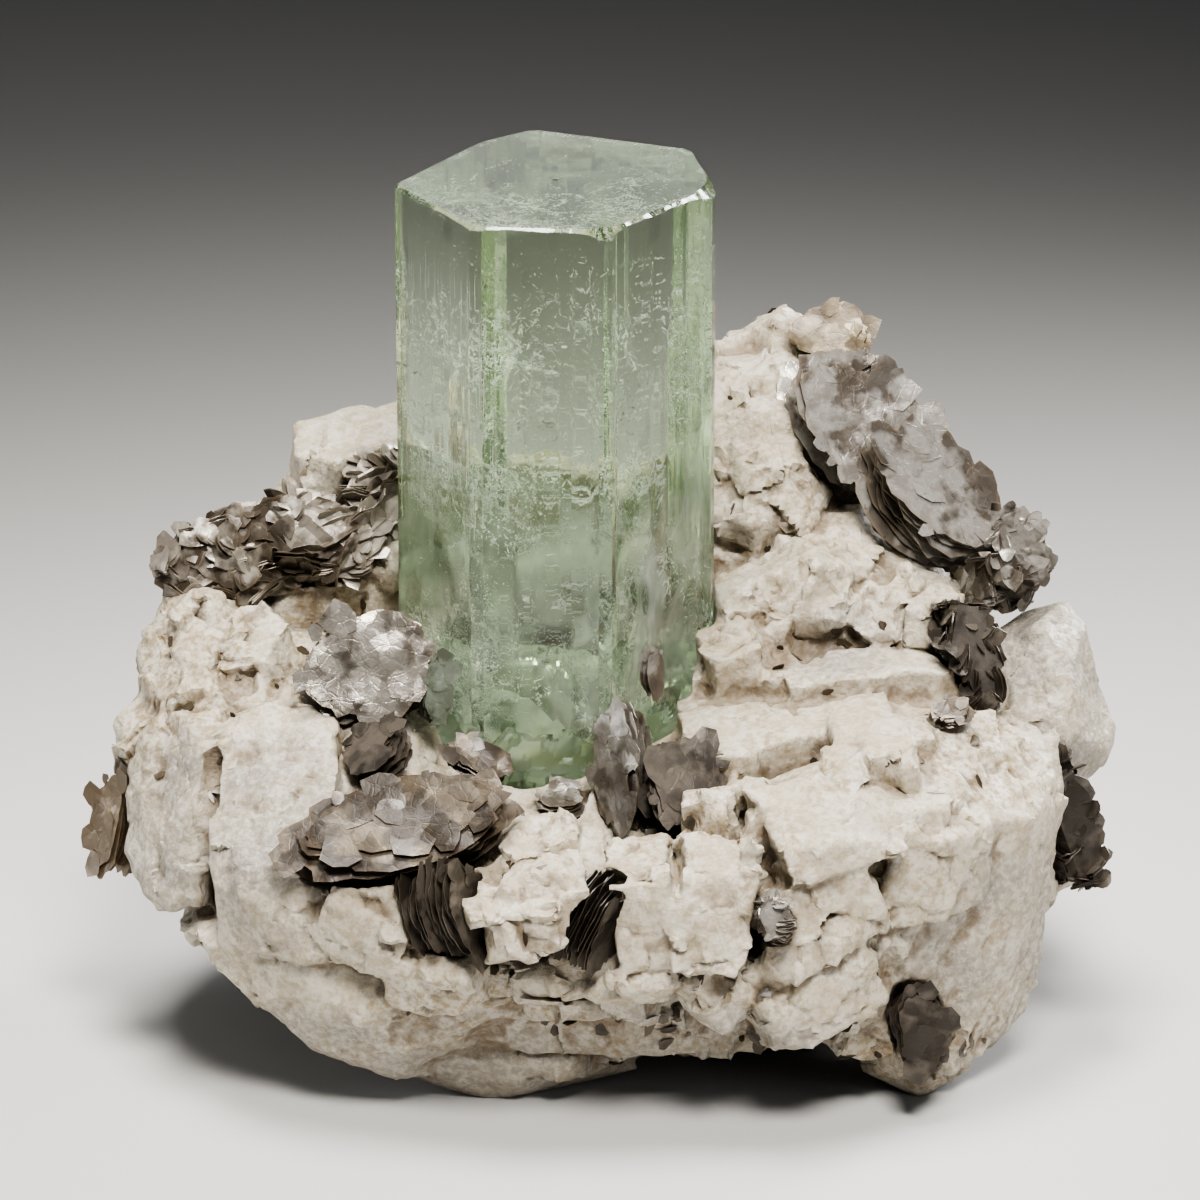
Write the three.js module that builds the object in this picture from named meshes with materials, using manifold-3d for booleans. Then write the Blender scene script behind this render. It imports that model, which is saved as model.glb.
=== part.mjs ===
// An aquamarine crystal standing in a rough block of feldspar, with books of mica around its foot.
// Millimetres, +Z up. The front of the specimen looks along -Y and its right side along +X.
// The origin lies under the middle of the specimen, on the surface that it rests on.
import * as THREE from "three";
import { ConvexGeometry } from "three/addons/geometries/ConvexGeometry.js";
import { mergeVertices } from "three/addons/utils/BufferGeometryUtils.js";
import Module from "manifold-3d";

// Driving dimensions
const GAP = 0.3; // room between two minerals that meet
const WELD = 1e-4; // corners closer than this are one corner
const REACH = 200; // half the side of the block that cuts the foot flat

// The crystal: a six-sided prism whose sides differ in width, with a narrow seventh side at the back
// left, cut across nearly flat at the top
const CRYSTAL_TOP = 93.4;
const CRYSTAL_FOOT = 27;
const CRYSTAL_CORNERS = [
  [-22.1, 3],
  [-13.2, -13.8],
  [0.8, -15.6],
  [12.4, 1.9],
  [10, 17.8],
  [-7.4, 26.4],
  [-13.2, 20.8],
];
const EDGE_FACE = 0.9; // half the width of the narrow face along each upright edge
const SHOULDER_DROP = 0.9; // how far the bevel round the top comes down
const SHOULDER_INSET = 0.9;
const FOOT_INSET = 0.93; // the broken foot is this much narrower
const FOOT_TAPER = 6; // height over which the foot narrows

// Feldspar
const STONE_DETAIL = 1;
const STONE_ROUGH = 0.16; // share of its half-size by which a corner of a stone may fall short
const BLOCK_CHIP = 0.25; // share of a side that a chipped corner takes, on the whole
const CHIP_RANGE = [0.4, 1.4]; // least and most of that share
const BLOCK_SKEW = 0.1; // share of a side by which a corner may be out of square
const CHIPPED_CORNERS = 0.6; // share of a block's corners that are chipped off
const LUMPS_PER_STONE = 2;
const LUMP_SINK = 0.92; // how far out on its stone a lump sits
const LUMP_HALF = [3.5, 7]; // smallest and largest half-size
const LUMP_SHAPE = [1, 0.9, 0.8]; // its half-sizes along X, Y and Z, as shares of the largest
const LUMP_RISE = [-0.35, 0.85]; // lowest and highest place on its stone, from -1 to 1

// Mica
const LEAF_CORNERS = 6;
const LEAF_RAGGED = 0.16; // share of its reach by which a leaf's corner may fall short
const LEAF_WANDER = 0.5; // share of the way to the next corner by which a corner may wander
const LEAF_OVERLAP = 1.3; // leaf thickness over leaf spacing, so that a book is one solid
const LEAF_SHRINK = 0.22; // share by which a leaf may be smaller than its book
const LEAF_SHIFT = 0.08; // share of its size by which a leaf may lie off the middle
const FLAKE_LEAN = [0.2, 0.9]; // least and most that a flake in a cluster faces up
const FLAKE_SCALE = [0.75, 1.25];
const FLAKE_STRAY = [-2.5, 2.5]; // how far a flake may stand off its cluster's line
const FLAKE_SLOPE = [-0.4, 0.4]; // least and most that a flake's long side slopes

const wasm = await Module();
wasm.setup();

// A closed geometry as a solid that can be joined and cut.
function solidOf(geometry) {
  const bare = geometry.index ? geometry.toNonIndexed() : geometry.clone();
  bare.deleteAttribute("normal");
  bare.deleteAttribute("uv");
  const merged = mergeVertices(bare, WELD);
  return new wasm.Manifold(
    new wasm.Mesh({
      numProp: 3,
      vertProperties: merged.attributes.position.array,
      triVerts: new Uint32Array(merged.index.array),
    }),
  );
}

function geometryOf(solid) {
  const { numProp, numVert, vertProperties, triVerts } = solid.getMesh();
  const places = new Float32Array(numVert * 3);
  for (let i = 0; i < numVert; i++) {
    places.set(vertProperties.subarray(i * numProp, i * numProp + 3), i * 3);
  }
  const geometry = new THREE.BufferGeometry();
  geometry.setAttribute("position", new THREE.BufferAttribute(places, 3));
  geometry.setIndex(new THREE.BufferAttribute(triVerts, 1));
  geometry.computeVertexNormals();
  return geometry;
}

const joined = (solids) => solids.reduce((all, one) => all.add(one));
const cutBy = (solid, cuts) => cuts.reduce((rest, cut) => rest.subtract(cut), solid);

// The largest body of a solid, without crumbs that a cut has freed.
function withoutCrumbs(solid) {
  const bodies = solid.decompose();
  return bodies.reduce((best, one) => (one.volume() > best.volume() ? one : best));
}

// The same numbers from 0 to 1 on every run.
function randomFrom(seed) {
  let state = seed;
  return () => {
    state = (state + 0x6d2b79f5) | 0;
    let mixed = Math.imul(state ^ (state >>> 15), 1 | state);
    mixed = (mixed + Math.imul(mixed ^ (mixed >>> 7), 61 | mixed)) ^ mixed;
    return ((mixed ^ (mixed >>> 14)) >>> 0) / 4294967296;
  };
}

const between = (random, [low, high]) => low + (high - low) * random();

function pointsOf(geometry) {
  const bare = geometry.clone();
  bare.deleteAttribute("normal");
  bare.deleteAttribute("uv");
  const places = mergeVertices(bare, WELD).getAttribute("position");
  const pointAt = (_, i) => new THREE.Vector3().fromBufferAttribute(places, i);
  return Array.from({ length: places.count }, pointAt);
}

const hullOf = (points) => new ConvexGeometry(points);

// Turns are degrees about X, Y and Z.
function placed(geometry, at, turn) {
  const angles = turn.map(THREE.MathUtils.degToRad);
  const place = new THREE.Matrix4().makeRotationFromEuler(new THREE.Euler(...angles));
  place.setPosition(...at);
  return solidOf(geometry.applyMatrix4(place));
}

// A rounded stone with flat facets. half is its half-size along each axis.
function stone({ at, half, turn = [0, 0, 0], seed, detail = STONE_DETAIL }) {
  const random = randomFrom(seed);
  const size = new THREE.Vector3(...half);
  const ball = pointsOf(new THREE.IcosahedronGeometry(1, detail));
  const points = ball.map((point) => point.multiplyScalar(1 - STONE_ROUGH * random()).multiply(size));
  return placed(hullOf(points), at, turn);
}

// A cleaved block: a box, a little out of square, with some of its corners chipped off.
function block({ at, size, turn = [0, 0, 0], seed, chip = BLOCK_CHIP }) {
  const random = randomFrom(seed);
  const points = [];
  for (let corner = 0; corner < 8; corner++) {
    const signs = [0, 1, 2].map((axis) => ((corner >> axis) & 1 ? 1 : -1));
    const chipped = chip > 0 && random() < CHIPPED_CORNERS;
    for (let point = 0; point < (chipped ? 3 : 1); point++) {
      const place = signs.map((sign, axis) => {
        const cut = chipped && axis === point ? chip * between(random, CHIP_RANGE) : BLOCK_SKEW * random();
        return (sign * size[axis] * (1 - cut)) / 2;
      });
      points.push(new THREE.Vector3(...place));
    }
  }
  return placed(hullOf(points), at, turn);
}

// Crystal

// The outline of the prism, with a narrow face in place of each corner. grow moves every corner out.
function crystalOutline(grow) {
  const corners = CRYSTAL_CORNERS.map((corner) => new THREE.Vector2(...corner));
  const middle = new THREE.Vector2();
  corners.forEach((corner) => middle.addScaledVector(corner, 1 / corners.length));
  const outline = [];
  corners.forEach((corner, i) => {
    const outward = corner.clone().sub(middle).setLength(grow);
    const before = corners.at(i - 1);
    const after = corners[(i + 1) % corners.length];
    for (const other of [before, after]) {
      const along = other.clone().sub(corner).setLength(EDGE_FACE);
      outline.push(corner.clone().add(along).add(outward));
    }
  });
  return { outline, middle };
}

function ringAt(height, outline, middle, scale) {
  return outline.map((point) => {
    const moved = point.clone().sub(middle).multiplyScalar(scale).add(middle);
    return new THREE.Vector3(moved.x, moved.y, height);
  });
}

function crystal(grow = 0) {
  const { outline, middle } = crystalOutline(grow);
  const reach = outline[0].distanceTo(middle);
  const points = [
    ...ringAt(CRYSTAL_FOOT - grow, outline, middle, FOOT_INSET),
    ...ringAt(CRYSTAL_FOOT + FOOT_TAPER, outline, middle, 1),
    ...ringAt(CRYSTAL_TOP - SHOULDER_DROP, outline, middle, 1),
    ...ringAt(CRYSTAL_TOP, outline, middle, 1 - SHOULDER_INSET / reach),
  ];
  return solidOf(hullOf(points));
}

// Feldspar

// The outer shape of the rock: whatever would stick out of the hull of these corners is broken off
const BOULDER_RIM = [
  [-54, -2, 27],
  [-52, 0, 38],
  [-48, 6, 48],
  [-42, 12, 54],
  [-33.6, 25, 60.6],
  [-23, 27, 62.8],
  [12.8, 36, 70],
  [22.2, 34, 73],
  [29.6, 30, 71.5],
  [34, 24, 65.5],
  [42, 14, 53],
  [48.4, 10, 48],
  [52.6, 6, 43.6],
  [56.6, 4, 31],
  [56.2, 2, 25.5],
  [53, -2, 20],
  [49.6, -8, 13],
  [47.8, -14, 8.5],
  [42.6, -20, 5],
];
const BOULDER_FRONT = [
  [-37, -33, 28],
  [-48.4, -19, 22],
  [-18, -40, 27],
  [-2, -41.5, 28],
  [12, -41.5, 27],
  [26, -38, 32],
  [46, -22, 31],
  [-39.4, -27, 15],
  [-30, -29, 8],
  [-4, -38, 15],
  [22, -37, 13],
];
const BOULDER_BACK = [
  [-34, 36, 30],
  [-12, 43, 30],
  [14, 44, 34],
  [38, 34, 34],
  [-30, 37, 50],
  [-8, 42, 56],
  [14, 43, 63],
  [-47, 20, 33],
  [51, 20, 31],
];
const BOULDER_FOOT = [
  [-30, -26, 6],
  [-12, -26, -1],
  [34.6, -24, -2],
  [-42, 6, 8],
  [-36, 26, 3],
  [-14, 36, -1],
  [16, 37, -1],
  [38, 27, 3],
  [46, 6, 8],
];

// The bulk of the rock, as stones that grew into each other
const BULK = [
  { at: [0, 2, 17], half: [48, 39, 21], seed: 11 },
  { at: [-4, 25, 33], half: [42, 20, 29], turn: [0, -6, 0], seed: 12 },
  { at: [30, 2, 22], half: [25, 29, 16], seed: 13 },
  { at: [-32, 0, 25], half: [20, 28, 20], seed: 14 },
  { at: [19, 29, 50], half: [17, 15, 22], turn: [10, 0, 0], seed: 15 },
  { at: [26, 13, 41], half: [16, 15, 13], seed: 16 },
  { at: [-29, 22, 41], half: [15, 15, 15], seed: 17 },
  { at: [-22.5, -17, 14], half: [26, 18, 14], seed: 18 },
  { at: [48.6, 6, 34], half: [9.2, 12.5, 12.5], turn: [0, 14, 10], seed: 46 },
];

// Crystals and blocks that show one by one, from the left to the right and then over the back
const BLOCKS = [
  { at: [-34, -22.8, 31.5], size: [13.5, 15, 31], turn: [-20, -3, -5], seed: 21, chip: 0.14 },
  { at: [-44.6, -11.5, 28.5], size: [12, 17, 20], turn: [-14, -4, -24], seed: 22, chip: 0.18 },
  { at: [-26.4, 27, 51.5], size: [18, 16, 22], turn: [8, 6, 10], seed: 23, chip: 0.2 },
  { at: [-23.5, -32, 25], size: [10, 10, 13], turn: [-12, 22, -6], seed: 27, chip: 0.2 },
  { at: [-7.4, -33.5, 28], size: [12, 13, 13], turn: [-12, -8, 6], seed: 26, chip: 0.16 },
  { at: [4.5, -33.5, 26], size: [6.5, 11, 11], turn: [4, -10, 0], seed: 29, chip: 0.24 },
  { at: [11.5, -33, 26], size: [8, 12, 14], turn: [-8, 10, 4], seed: 30, chip: 0.22 },
  { at: [23.2, -28.5, 33.4], size: [14, 14, 10.5], turn: [-10, -14, 14], seed: 31, chip: 0.16 },
  { at: [22, -30, 24], size: [14, 13, 9], turn: [-6, -20, 12], seed: 32, chip: 0.18 },
  { at: [21.8, -29, 15.6], size: [14, 14, 11], turn: [-8, -24, 10], seed: 33, chip: 0.26 },
  { at: [35, -15.5, 22], size: [25, 21, 35], turn: [0, 12, 27], seed: 25, chip: 0.2 },
  { at: [40, -17, 36], size: [9, 10, 9], turn: [0, 8, 24], seed: 34, chip: 0.24 },
  { at: [34, 28, 38], size: [20, 16, 26], turn: [8, 10, -34], seed: 35 },
  { at: [10, 37, 33], size: [22, 14, 30], turn: [10, -8, -6], seed: 36 },
  { at: [-16, 37, 42], size: [18, 14, 24], turn: [12, 10, 12], seed: 37 },
  { at: [48, 14, 20], size: [14, 20, 16], turn: [0, -16, -14], seed: 39 },
];

const LUMPS = [
  { at: [-45.5, -2, 40], half: [7, 8, 8.5], seed: 41 },
  { at: [-37.5, -3.5, 43.5], half: [5.5, 6.5, 7.5], seed: 42 },
  { at: [-49, -4.5, 32], half: [5.5, 8, 9], seed: 43 },
  { at: [-42.5, 8.5, 41], half: [9.5, 10, 8.5], seed: 56 },
  { at: [20.5, 33, 62.5], half: [8, 8, 10.5], seed: 44 },
  { at: [14, 30, 61], half: [8, 9, 7], seed: 45 },
  { at: [33, 5, 44], half: [8.5, 8, 7], seed: 47 },
  { at: [23, 6, 45.5], half: [9, 8, 8], seed: 48 },
  { at: [14.8, 1, 42], half: [6, 6.5, 5], seed: 49 },
  { at: [18, 18, 53], half: [10, 9, 9], seed: 50 },
  { at: [-11, -18, 5], half: [19, 12, 8], seed: 51 },
  { at: [34, -20, 5], half: [8, 7, 7], seed: 52 },
  { at: [5, -34.5, 18.5], half: [6, 5, 4.5], seed: 53 },
  { at: [12.5, -33.5, 17], half: [6, 6, 5], seed: 54 },
  { at: [-17, -33, 18], half: [7, 6, 6], seed: 55 },
];

// The hollow under the front, and the one that the foot of the crystal stands over
const HOLLOWS = [
  { at: [13.5, -32, 0], half: [11, 15, 7.5], seed: 61 },
  { at: [-8, -20, 37], half: [12, 11, 6.5], seed: 62 },
];

// Steps of small cleaved blocks that climb from the front edge towards the crystal
const TERRACE = {
  rows: 3,
  columns: 6,
  left: 9.5,
  right: 41,
  front: -23,
  back: 1,
  low: 35,
  high: 42,
  tall: 12,
  uneven: [-1.2, 1.2],
  stray: [-0.15, 0.15],
  overlap: [1.15, 1.25],
  tilt: [-6, 5],
  seed: 71,
};

function terrace() {
  const { rows, columns, left, right, front, back, low, high, tall } = TERRACE;
  const { uneven, stray, overlap, tilt, seed } = TERRACE;
  const random = randomFrom(seed);
  const width = (right - left) / columns;
  const depth = (back - front) / (rows - 1);
  const steps = [];
  for (let row = 0; row < rows; row++) {
    for (let column = 0; column < columns; column++) {
      const top = THREE.MathUtils.lerp(low, high, row / (rows - 1)) + between(random, uneven);
      const x = left + width * (column + 0.5 + between(random, stray));
      const y = front + depth * (row + between(random, stray));
      steps.push(
        block({
          at: [x, y, top - tall / 2],
          size: [width * overlap[0], depth * overlap[1], tall],
          turn: [between(random, tilt), between(random, tilt), between(random, tilt)],
          seed: seed * 10 + row * columns + column,
          chip: 0,
        }),
      );
    }
  }
  return steps;
}

// Small lumps over a stone of the bulk, half sunk in it
function lumpsOn(host) {
  const random = randomFrom(host.seed * 7);
  return Array.from({ length: LUMPS_PER_STONE }, (_, i) => {
    const round = 2 * Math.PI * random();
    const rise = between(random, LUMP_RISE);
    const flat = Math.sqrt(1 - rise * rise);
    const way = [Math.cos(round) * flat, Math.sin(round) * flat, rise];
    const size = between(random, LUMP_HALF);
    return stone({
      at: host.at.map((middle, axis) => middle + LUMP_SINK * host.half[axis] * way[axis]),
      half: LUMP_SHAPE.map((share) => size * share),
      seed: host.seed * 100 + i,
      detail: 0,
    });
  });
}

function feldspar(sockets) {
  const whole = joined([
    ...BULK.map(stone),
    ...BULK.flatMap(lumpsOn),
    ...BLOCKS.map(block),
    ...LUMPS.map((lump) => stone({ ...lump, detail: 0 })),
    ...terrace(),
  ]);
  const corners = [BOULDER_RIM, BOULDER_FRONT, BOULDER_BACK, BOULDER_FOOT].flat();
  const boulder = solidOf(hullOf(corners.map((corner) => new THREE.Vector3(...corner))));
  const below = new THREE.BoxGeometry(2 * REACH, 2 * REACH, REACH).translate(0, 0, -REACH / 2);
  const cuts = [...HOLLOWS.map(stone), ...sockets, solidOf(below)];
  return withoutCrumbs(cutBy(whole.intersect(boulder), cuts));
}

// Mica

// The outline of one leaf, near a six-sided plate, with ragged sides.
function leafShape(length, width, random) {
  const points = Array.from({ length: LEAF_CORNERS }, (_, i) => {
    const round = (2 * Math.PI * (i + LEAF_WANDER * random())) / LEAF_CORNERS;
    const reach = 0.5 * (1 - LEAF_RAGGED * random());
    return new THREE.Vector2(length * reach * Math.cos(round), width * reach * Math.sin(round));
  });
  return new THREE.Shape(points);
}

// The frame of a book: its leaves face one way, and their long side runs along another.
function bookFrame({ at, face, along }) {
  const out = new THREE.Vector3(...face).normalize();
  const side = new THREE.Vector3().crossVectors(out, new THREE.Vector3(...along)).normalize();
  const long = new THREE.Vector3().crossVectors(side, out);
  return new THREE.Matrix4().makeBasis(long, side, out).setPosition(...at);
}

// A book of mica: leaves of unlike outline on each other. size is length, width and thickness.
// The socket is the room that it takes up in what it grew in.
function book(spec) {
  const [length, width, thick] = spec.size;
  const random = randomFrom(spec.seed);
  const frame = bookFrame(spec);
  const pitch = thick / spec.leaves;
  const sheets = Array.from({ length: spec.leaves }, (_, i) => {
    const shrink = 1 - LEAF_SHRINK * random();
    const shape = leafShape(length * shrink, width * shrink, random);
    const sheet = new THREE.ExtrudeGeometry(shape, { depth: pitch * LEAF_OVERLAP, bevelEnabled: false });
    const x = length * LEAF_SHIFT * (random() - 0.5);
    const y = width * LEAF_SHIFT * (random() - 0.5);
    return sheet.translate(x, y, -thick / 2 + i * pitch);
  });
  const grow = new THREE.Vector3(...spec.size.map((side) => (side + 2 * GAP) / side));
  const around = sheets.flatMap(pointsOf).map((point) => point.multiply(grow));
  return {
    solid: joined(sheets.map((sheet) => solidOf(sheet.applyMatrix4(frame)))),
    socket: solidOf(hullOf(around).applyMatrix4(frame)),
  };
}

// A cluster of flakes that stand on edge beside each other, grown into one piece on a core.
// It runs from one end to the other, and its flakes lean by up to spread degrees.
function cluster({ from, to, core, flakes, size, spread, seed }) {
  const random = randomFrom(seed);
  const start = new THREE.Vector3(...from);
  const end = new THREE.Vector3(...to);
  const run = end.clone().sub(start);
  const heart = { at: start.clone().lerp(end, 0.5).toArray(), half: core, seed, detail: 0 };
  const parts = [
    { solid: stone(heart), socket: stone({ ...heart, half: core.map((side) => side + GAP) }) },
  ];
  for (let i = 0; i < flakes; i++) {
    const at = start.clone().addScaledVector(run, (i + 0.5) / flakes);
    const turn = THREE.MathUtils.degToRad(between(random, [-spread, spread]));
    const scale = between(random, FLAKE_SCALE);
    parts.push(
      book({
        at: [at.x, at.y + between(random, FLAKE_STRAY), at.z + between(random, FLAKE_STRAY)],
        face: [Math.sin(turn), -Math.cos(turn), between(random, FLAKE_LEAN)],
        along: [Math.cos(turn), Math.sin(turn), between(random, FLAKE_SLOPE)],
        size: size.map((side) => side * scale),
        leaves: 1,
        seed: seed + i + 1,
      }),
    );
  }
  return {
    solid: joined(parts.map((part) => part.solid)),
    socket: joined(parts.map((part) => part.socket)),
  };
}

// Each book's place is its middle.
const BOOKS = {
  mica_plate_left: {
    at: [-25.4, -9.5, 43], face: [-0.1, -0.86, 0.5], along: [1, 0, 0.1], size: [17, 14.5, 4.5], leaves: 2,
  },
  mica_book_crystal_foot: {
    at: [-17.6, -11.5, 42], face: [0.35, -0.9, 0.1], along: [0.1, 0, 1], size: [11, 6, 3], leaves: 2,
  },
  mica_book_front_left: {
    at: [-20, -31, 33], face: [-0.1, -0.74, 0.67], along: [1, 0.25, -0.02], size: [30, 13, 6], leaves: 3,
  },
  mica_leaf_front: {
    at: [-13, -18.5, 35.8], face: [0.25, -0.7, 0.66], along: [1, 0, -0.5], size: [13, 7.5, 2], leaves: 1,
  },
  mica_lump_left: {
    at: [-23, -18, 37], face: [-0.5, -0.55, 0.66], along: [0.8, 0, 0.6], size: [10, 8, 4], leaves: 2,
  },
  mica_plate_right: {
    at: [2.4, -20, 36.6], face: [-0.76, -0.6, 0.25], along: [0.36, 0.62, 0.7], size: [18, 10, 2.6], leaves: 2,
  },
  mica_fan_right: {
    at: [8, -21.5, 34], face: [0.3, -0.8, 0.5], along: [0.5, 0.3, 0.8], size: [15, 11, 5], leaves: 3,
  },
  mica_flake_crystal: {
    at: [5.2, -12.6, 44.6], face: [0.75, -0.65, 0.1], along: [0.1, 0, 1], size: [8, 3.6, 1.3], leaves: 1,
  },
  mica_flake_hollow: {
    at: [-4, -19, 31.6], face: [0, -0.3, 0.95], along: [1, 0, 0], size: [9, 6.5, 1.6], leaves: 1,
  },
  mica_blades_front_left: {
    at: [-16.6, -36, 27], face: [0.82, -0.5, 0.2], along: [-0.25, -0.2, 0.95], size: [14, 8, 6], leaves: 3,
  },
  mica_blades_front: {
    at: [-1, -36.4, 25], face: [0.8, -0.55, -0.3], along: [0.42, 0.2, 0.88], size: [14, 9, 4.5], leaves: 3,
  },
  mica_leaf_peak: {
    at: [25.2, 27, 69.8], face: [-0.2, -0.72, 0.66], along: [1, 0, -0.25], size: [13, 9, 2.4], leaves: 2,
  },
  mica_book_right_upper: {
    at: [28, 18, 62], face: [0.24, -0.84, 0.46], along: [0.6, 0, -0.8], size: [25, 17, 7.5], leaves: 3,
  },
  mica_book_right_lower: {
    at: [35.6, 11.5, 55.6], face: [0.46, -0.7, 0.55], along: [0.55, 0, -0.83], size: [20, 15, 7], leaves: 3,
  },
  mica_rosette_right: {
    at: [44.4, 8, 49.4], face: [0.5, -0.68, 0.54], along: [0.3, 0, 1], size: [12, 9, 6], leaves: 3,
  },
  mica_seam_right: {
    at: [39, -4, 43.8], face: [0.3, -0.9, 0.3], along: [-0.15, 0, 1], size: [15, 6.5, 6], leaves: 2,
  },
  mica_seam_low_right: {
    at: [49.4, -8, 26], face: [0.6, -0.78, 0.1], along: [0.35, 0, -1], size: [21, 8, 6], leaves: 3,
  },
  mica_flake_right: {
    at: [37.4, -15.4, 40.4], face: [0, -0.7, 0.7], along: [1, 0, 0.2], size: [5.5, 4, 1.6], leaves: 1,
  },
  mica_pocket_front: {
    at: [18, -37.4, 25.6], face: [0.1, -0.92, 0.36], along: [-0.4, 0, 1], size: [7, 5, 4], leaves: 2,
  },
  mica_foot_right: {
    at: [33.6, -27.6, 9.5], face: [0.15, -0.95, 0.2], along: [-0.2, 0, 1], size: [15, 9, 5], leaves: 3,
  },
  mica_edge_left: {
    at: [-50.4, -5, 25], face: [-0.75, -0.6, 0.2], along: [0.1, 0, 1], size: [16, 7, 5], leaves: 2,
  },
  mica_book_back: {
    at: [24, 35, 46], face: [0.35, 0.86, 0.35], along: [1, -0.3, 0.4], size: [19, 14, 6], leaves: 3,
  },
};

const CLUSTERS = {
  mica_cluster_left: {
    from: [-44.5, 9, 47],
    to: [-21, 15, 54.5],
    core: [13, 5, 6],
    flakes: 8,
    size: [12, 10, 2.4],
    spread: 60,
    seed: 201,
  },
  mica_cluster_back: {
    from: [-40, 30, 22],
    to: [-14, 38, 27],
    core: [12, 4, 5],
    flakes: 6,
    size: [11, 9, 2.4],
    spread: 50,
    seed: 221,
  },
};

const FINISHES = {
  aquamarine: { color: 0xa9c9ac, roughness: 0.08, metalness: 0, transparent: true, opacity: 0.55 },
  feldspar: { color: 0xd3cabd, roughness: 0.75, metalness: 0 },
  mica: { color: 0x84796a, roughness: 0.35, metalness: 0.25 },
};

const specimen = new THREE.Group();

function addPiece(name, solid, finish) {
  const mesh = new THREE.Mesh(geometryOf(solid), new THREE.MeshStandardMaterial(FINISHES[finish]));
  mesh.name = name;
  specimen.add(mesh);
}

// Mica is cut back where the crystal stands, and each piece of it where an earlier one lies.
const sockets = [crystal(GAP)];

function addMica(name, { solid, socket }) {
  addPiece(name, withoutCrumbs(cutBy(solid, sockets)), "mica");
  sockets.push(socket);
}

addPiece("aquamarine_crystal", crystal(), "aquamarine");
Object.entries(BOOKS).forEach(([name, spec], i) => addMica(name, book({ ...spec, seed: 101 + i })));
Object.entries(CLUSTERS).forEach(([name, spec]) => addMica(name, cluster(spec)));
addPiece("feldspar_matrix", feldspar(sockets), "feldspar");

// The middle of the specimen comes over the origin.
const box = new THREE.Box3().setFromObject(specimen);
const middle = box.getCenter(new THREE.Vector3());
specimen.position.set(-middle.x, -middle.y, 0);

export default specimen;
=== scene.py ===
import math
import bpy
import numpy as np
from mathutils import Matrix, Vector
from mathutils.bvhtree import BVHTree
from mathutils.kdtree import KDTree


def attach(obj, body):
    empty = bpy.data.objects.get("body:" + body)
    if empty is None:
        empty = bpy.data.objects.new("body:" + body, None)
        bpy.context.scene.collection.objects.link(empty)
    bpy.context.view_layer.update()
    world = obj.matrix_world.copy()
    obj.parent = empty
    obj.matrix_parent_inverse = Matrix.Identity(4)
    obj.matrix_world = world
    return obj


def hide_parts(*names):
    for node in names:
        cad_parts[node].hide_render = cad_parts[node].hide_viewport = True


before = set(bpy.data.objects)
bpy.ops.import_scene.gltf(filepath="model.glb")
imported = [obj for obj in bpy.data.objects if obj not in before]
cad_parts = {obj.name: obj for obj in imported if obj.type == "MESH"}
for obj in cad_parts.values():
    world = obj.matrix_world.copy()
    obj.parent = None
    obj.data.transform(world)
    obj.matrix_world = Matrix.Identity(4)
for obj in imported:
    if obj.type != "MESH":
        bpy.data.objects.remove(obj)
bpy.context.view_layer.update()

mm = 0.001
fullTurn = 6.28  # radians, for random turns
scene = bpy.context.scene
print("frame loaded:", len(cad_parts), "nodes")


# noise over points in millimetres, the same on every run
def cellHash(cells, seed):
    cells = cells.astype(np.int64).astype(np.uint32)
    mixed = cells[..., 0] * np.uint32(73856093)
    mixed = mixed ^ cells[..., 1] * np.uint32(19349663) ^ cells[..., 2] * np.uint32(83492791)
    mixed = mixed ^ np.uint32(seed * 668265263 % 4294967296)
    mixed = (mixed ^ mixed >> np.uint32(15)) * np.uint32(2246822519)
    mixed = (mixed ^ mixed >> np.uint32(13)) * np.uint32(3266489917)
    return (mixed ^ mixed >> np.uint32(16)) / 4294967296.0


def hashes(cells, seed):  # three values for each cell
    return np.stack([cellHash(cells, seed + k) for k in range(3)], axis=1)


def noise(points, size, seed):
    scaled = points / size
    base = np.floor(scaled)
    part = scaled - base
    fade = part ** 3 * (part * (part * 6 - 15) + 10)
    total = np.zeros(len(points))
    for corner in range(8):
        step = np.array([corner & 1, corner >> 1 & 1, corner >> 2])
        rise = 2 * cellHash(base + step, seed) - 1
        turn = 2 * math.pi * cellHash(base + step, seed + 4001)
        flat = np.sqrt(1 - rise * rise)
        gap = part - step
        slope = flat * (np.cos(turn) * gap[:, 0] + np.sin(turn) * gap[:, 1]) + rise * gap[:, 2]
        total += np.prod(np.where(step, fade, 1 - fade), axis=1) * slope
    return 1.7 * total


def noises(points, size, seed):  # three values for each point
    return np.stack([noise(points, size, seed + k) for k in range(3)], axis=1)


def layeredNoise(points, size, octaves, seed):
    return sum(noise(points, size / 2 ** i, seed + i) / 2 ** i for i in range(octaves))


def ridges(points, size, octaves, seed):  # high on thin creases, low between them
    return sum((1 - np.abs(noise(points, size / 2 ** i, seed + i))) / 2 ** i for i in range(octaves)) / 2


# the nearest grain of a broken-up mass: how far its middle and the next one's are, the way from it, its cell
def grains(points, size, seed):
    scaled = points / size
    base = np.floor(scaled)
    first = np.full(len(points), 9.0)
    second = first.copy()
    away = np.zeros_like(points)
    own = np.zeros_like(points)
    for step in np.ndindex(3, 3, 3):
        cell = base + np.array(step) - 1
        gap = scaled - (cell + hashes(cell, seed))
        dist = np.sqrt((gap * gap).sum(axis=1))
        closer = dist < first
        second = np.where(closer, first, np.minimum(second, dist))
        first = np.where(closer, dist, first)
        away[closer] = gap[closer]
        own[closer] = cell[closer]
    return first * size, second * size, away * size, own


def tiltOf(away, own, seed):  # each grain is cut by a plane of its own
    return (away * (2 * hashes(own, seed) - 1)).sum(axis=1)


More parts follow.
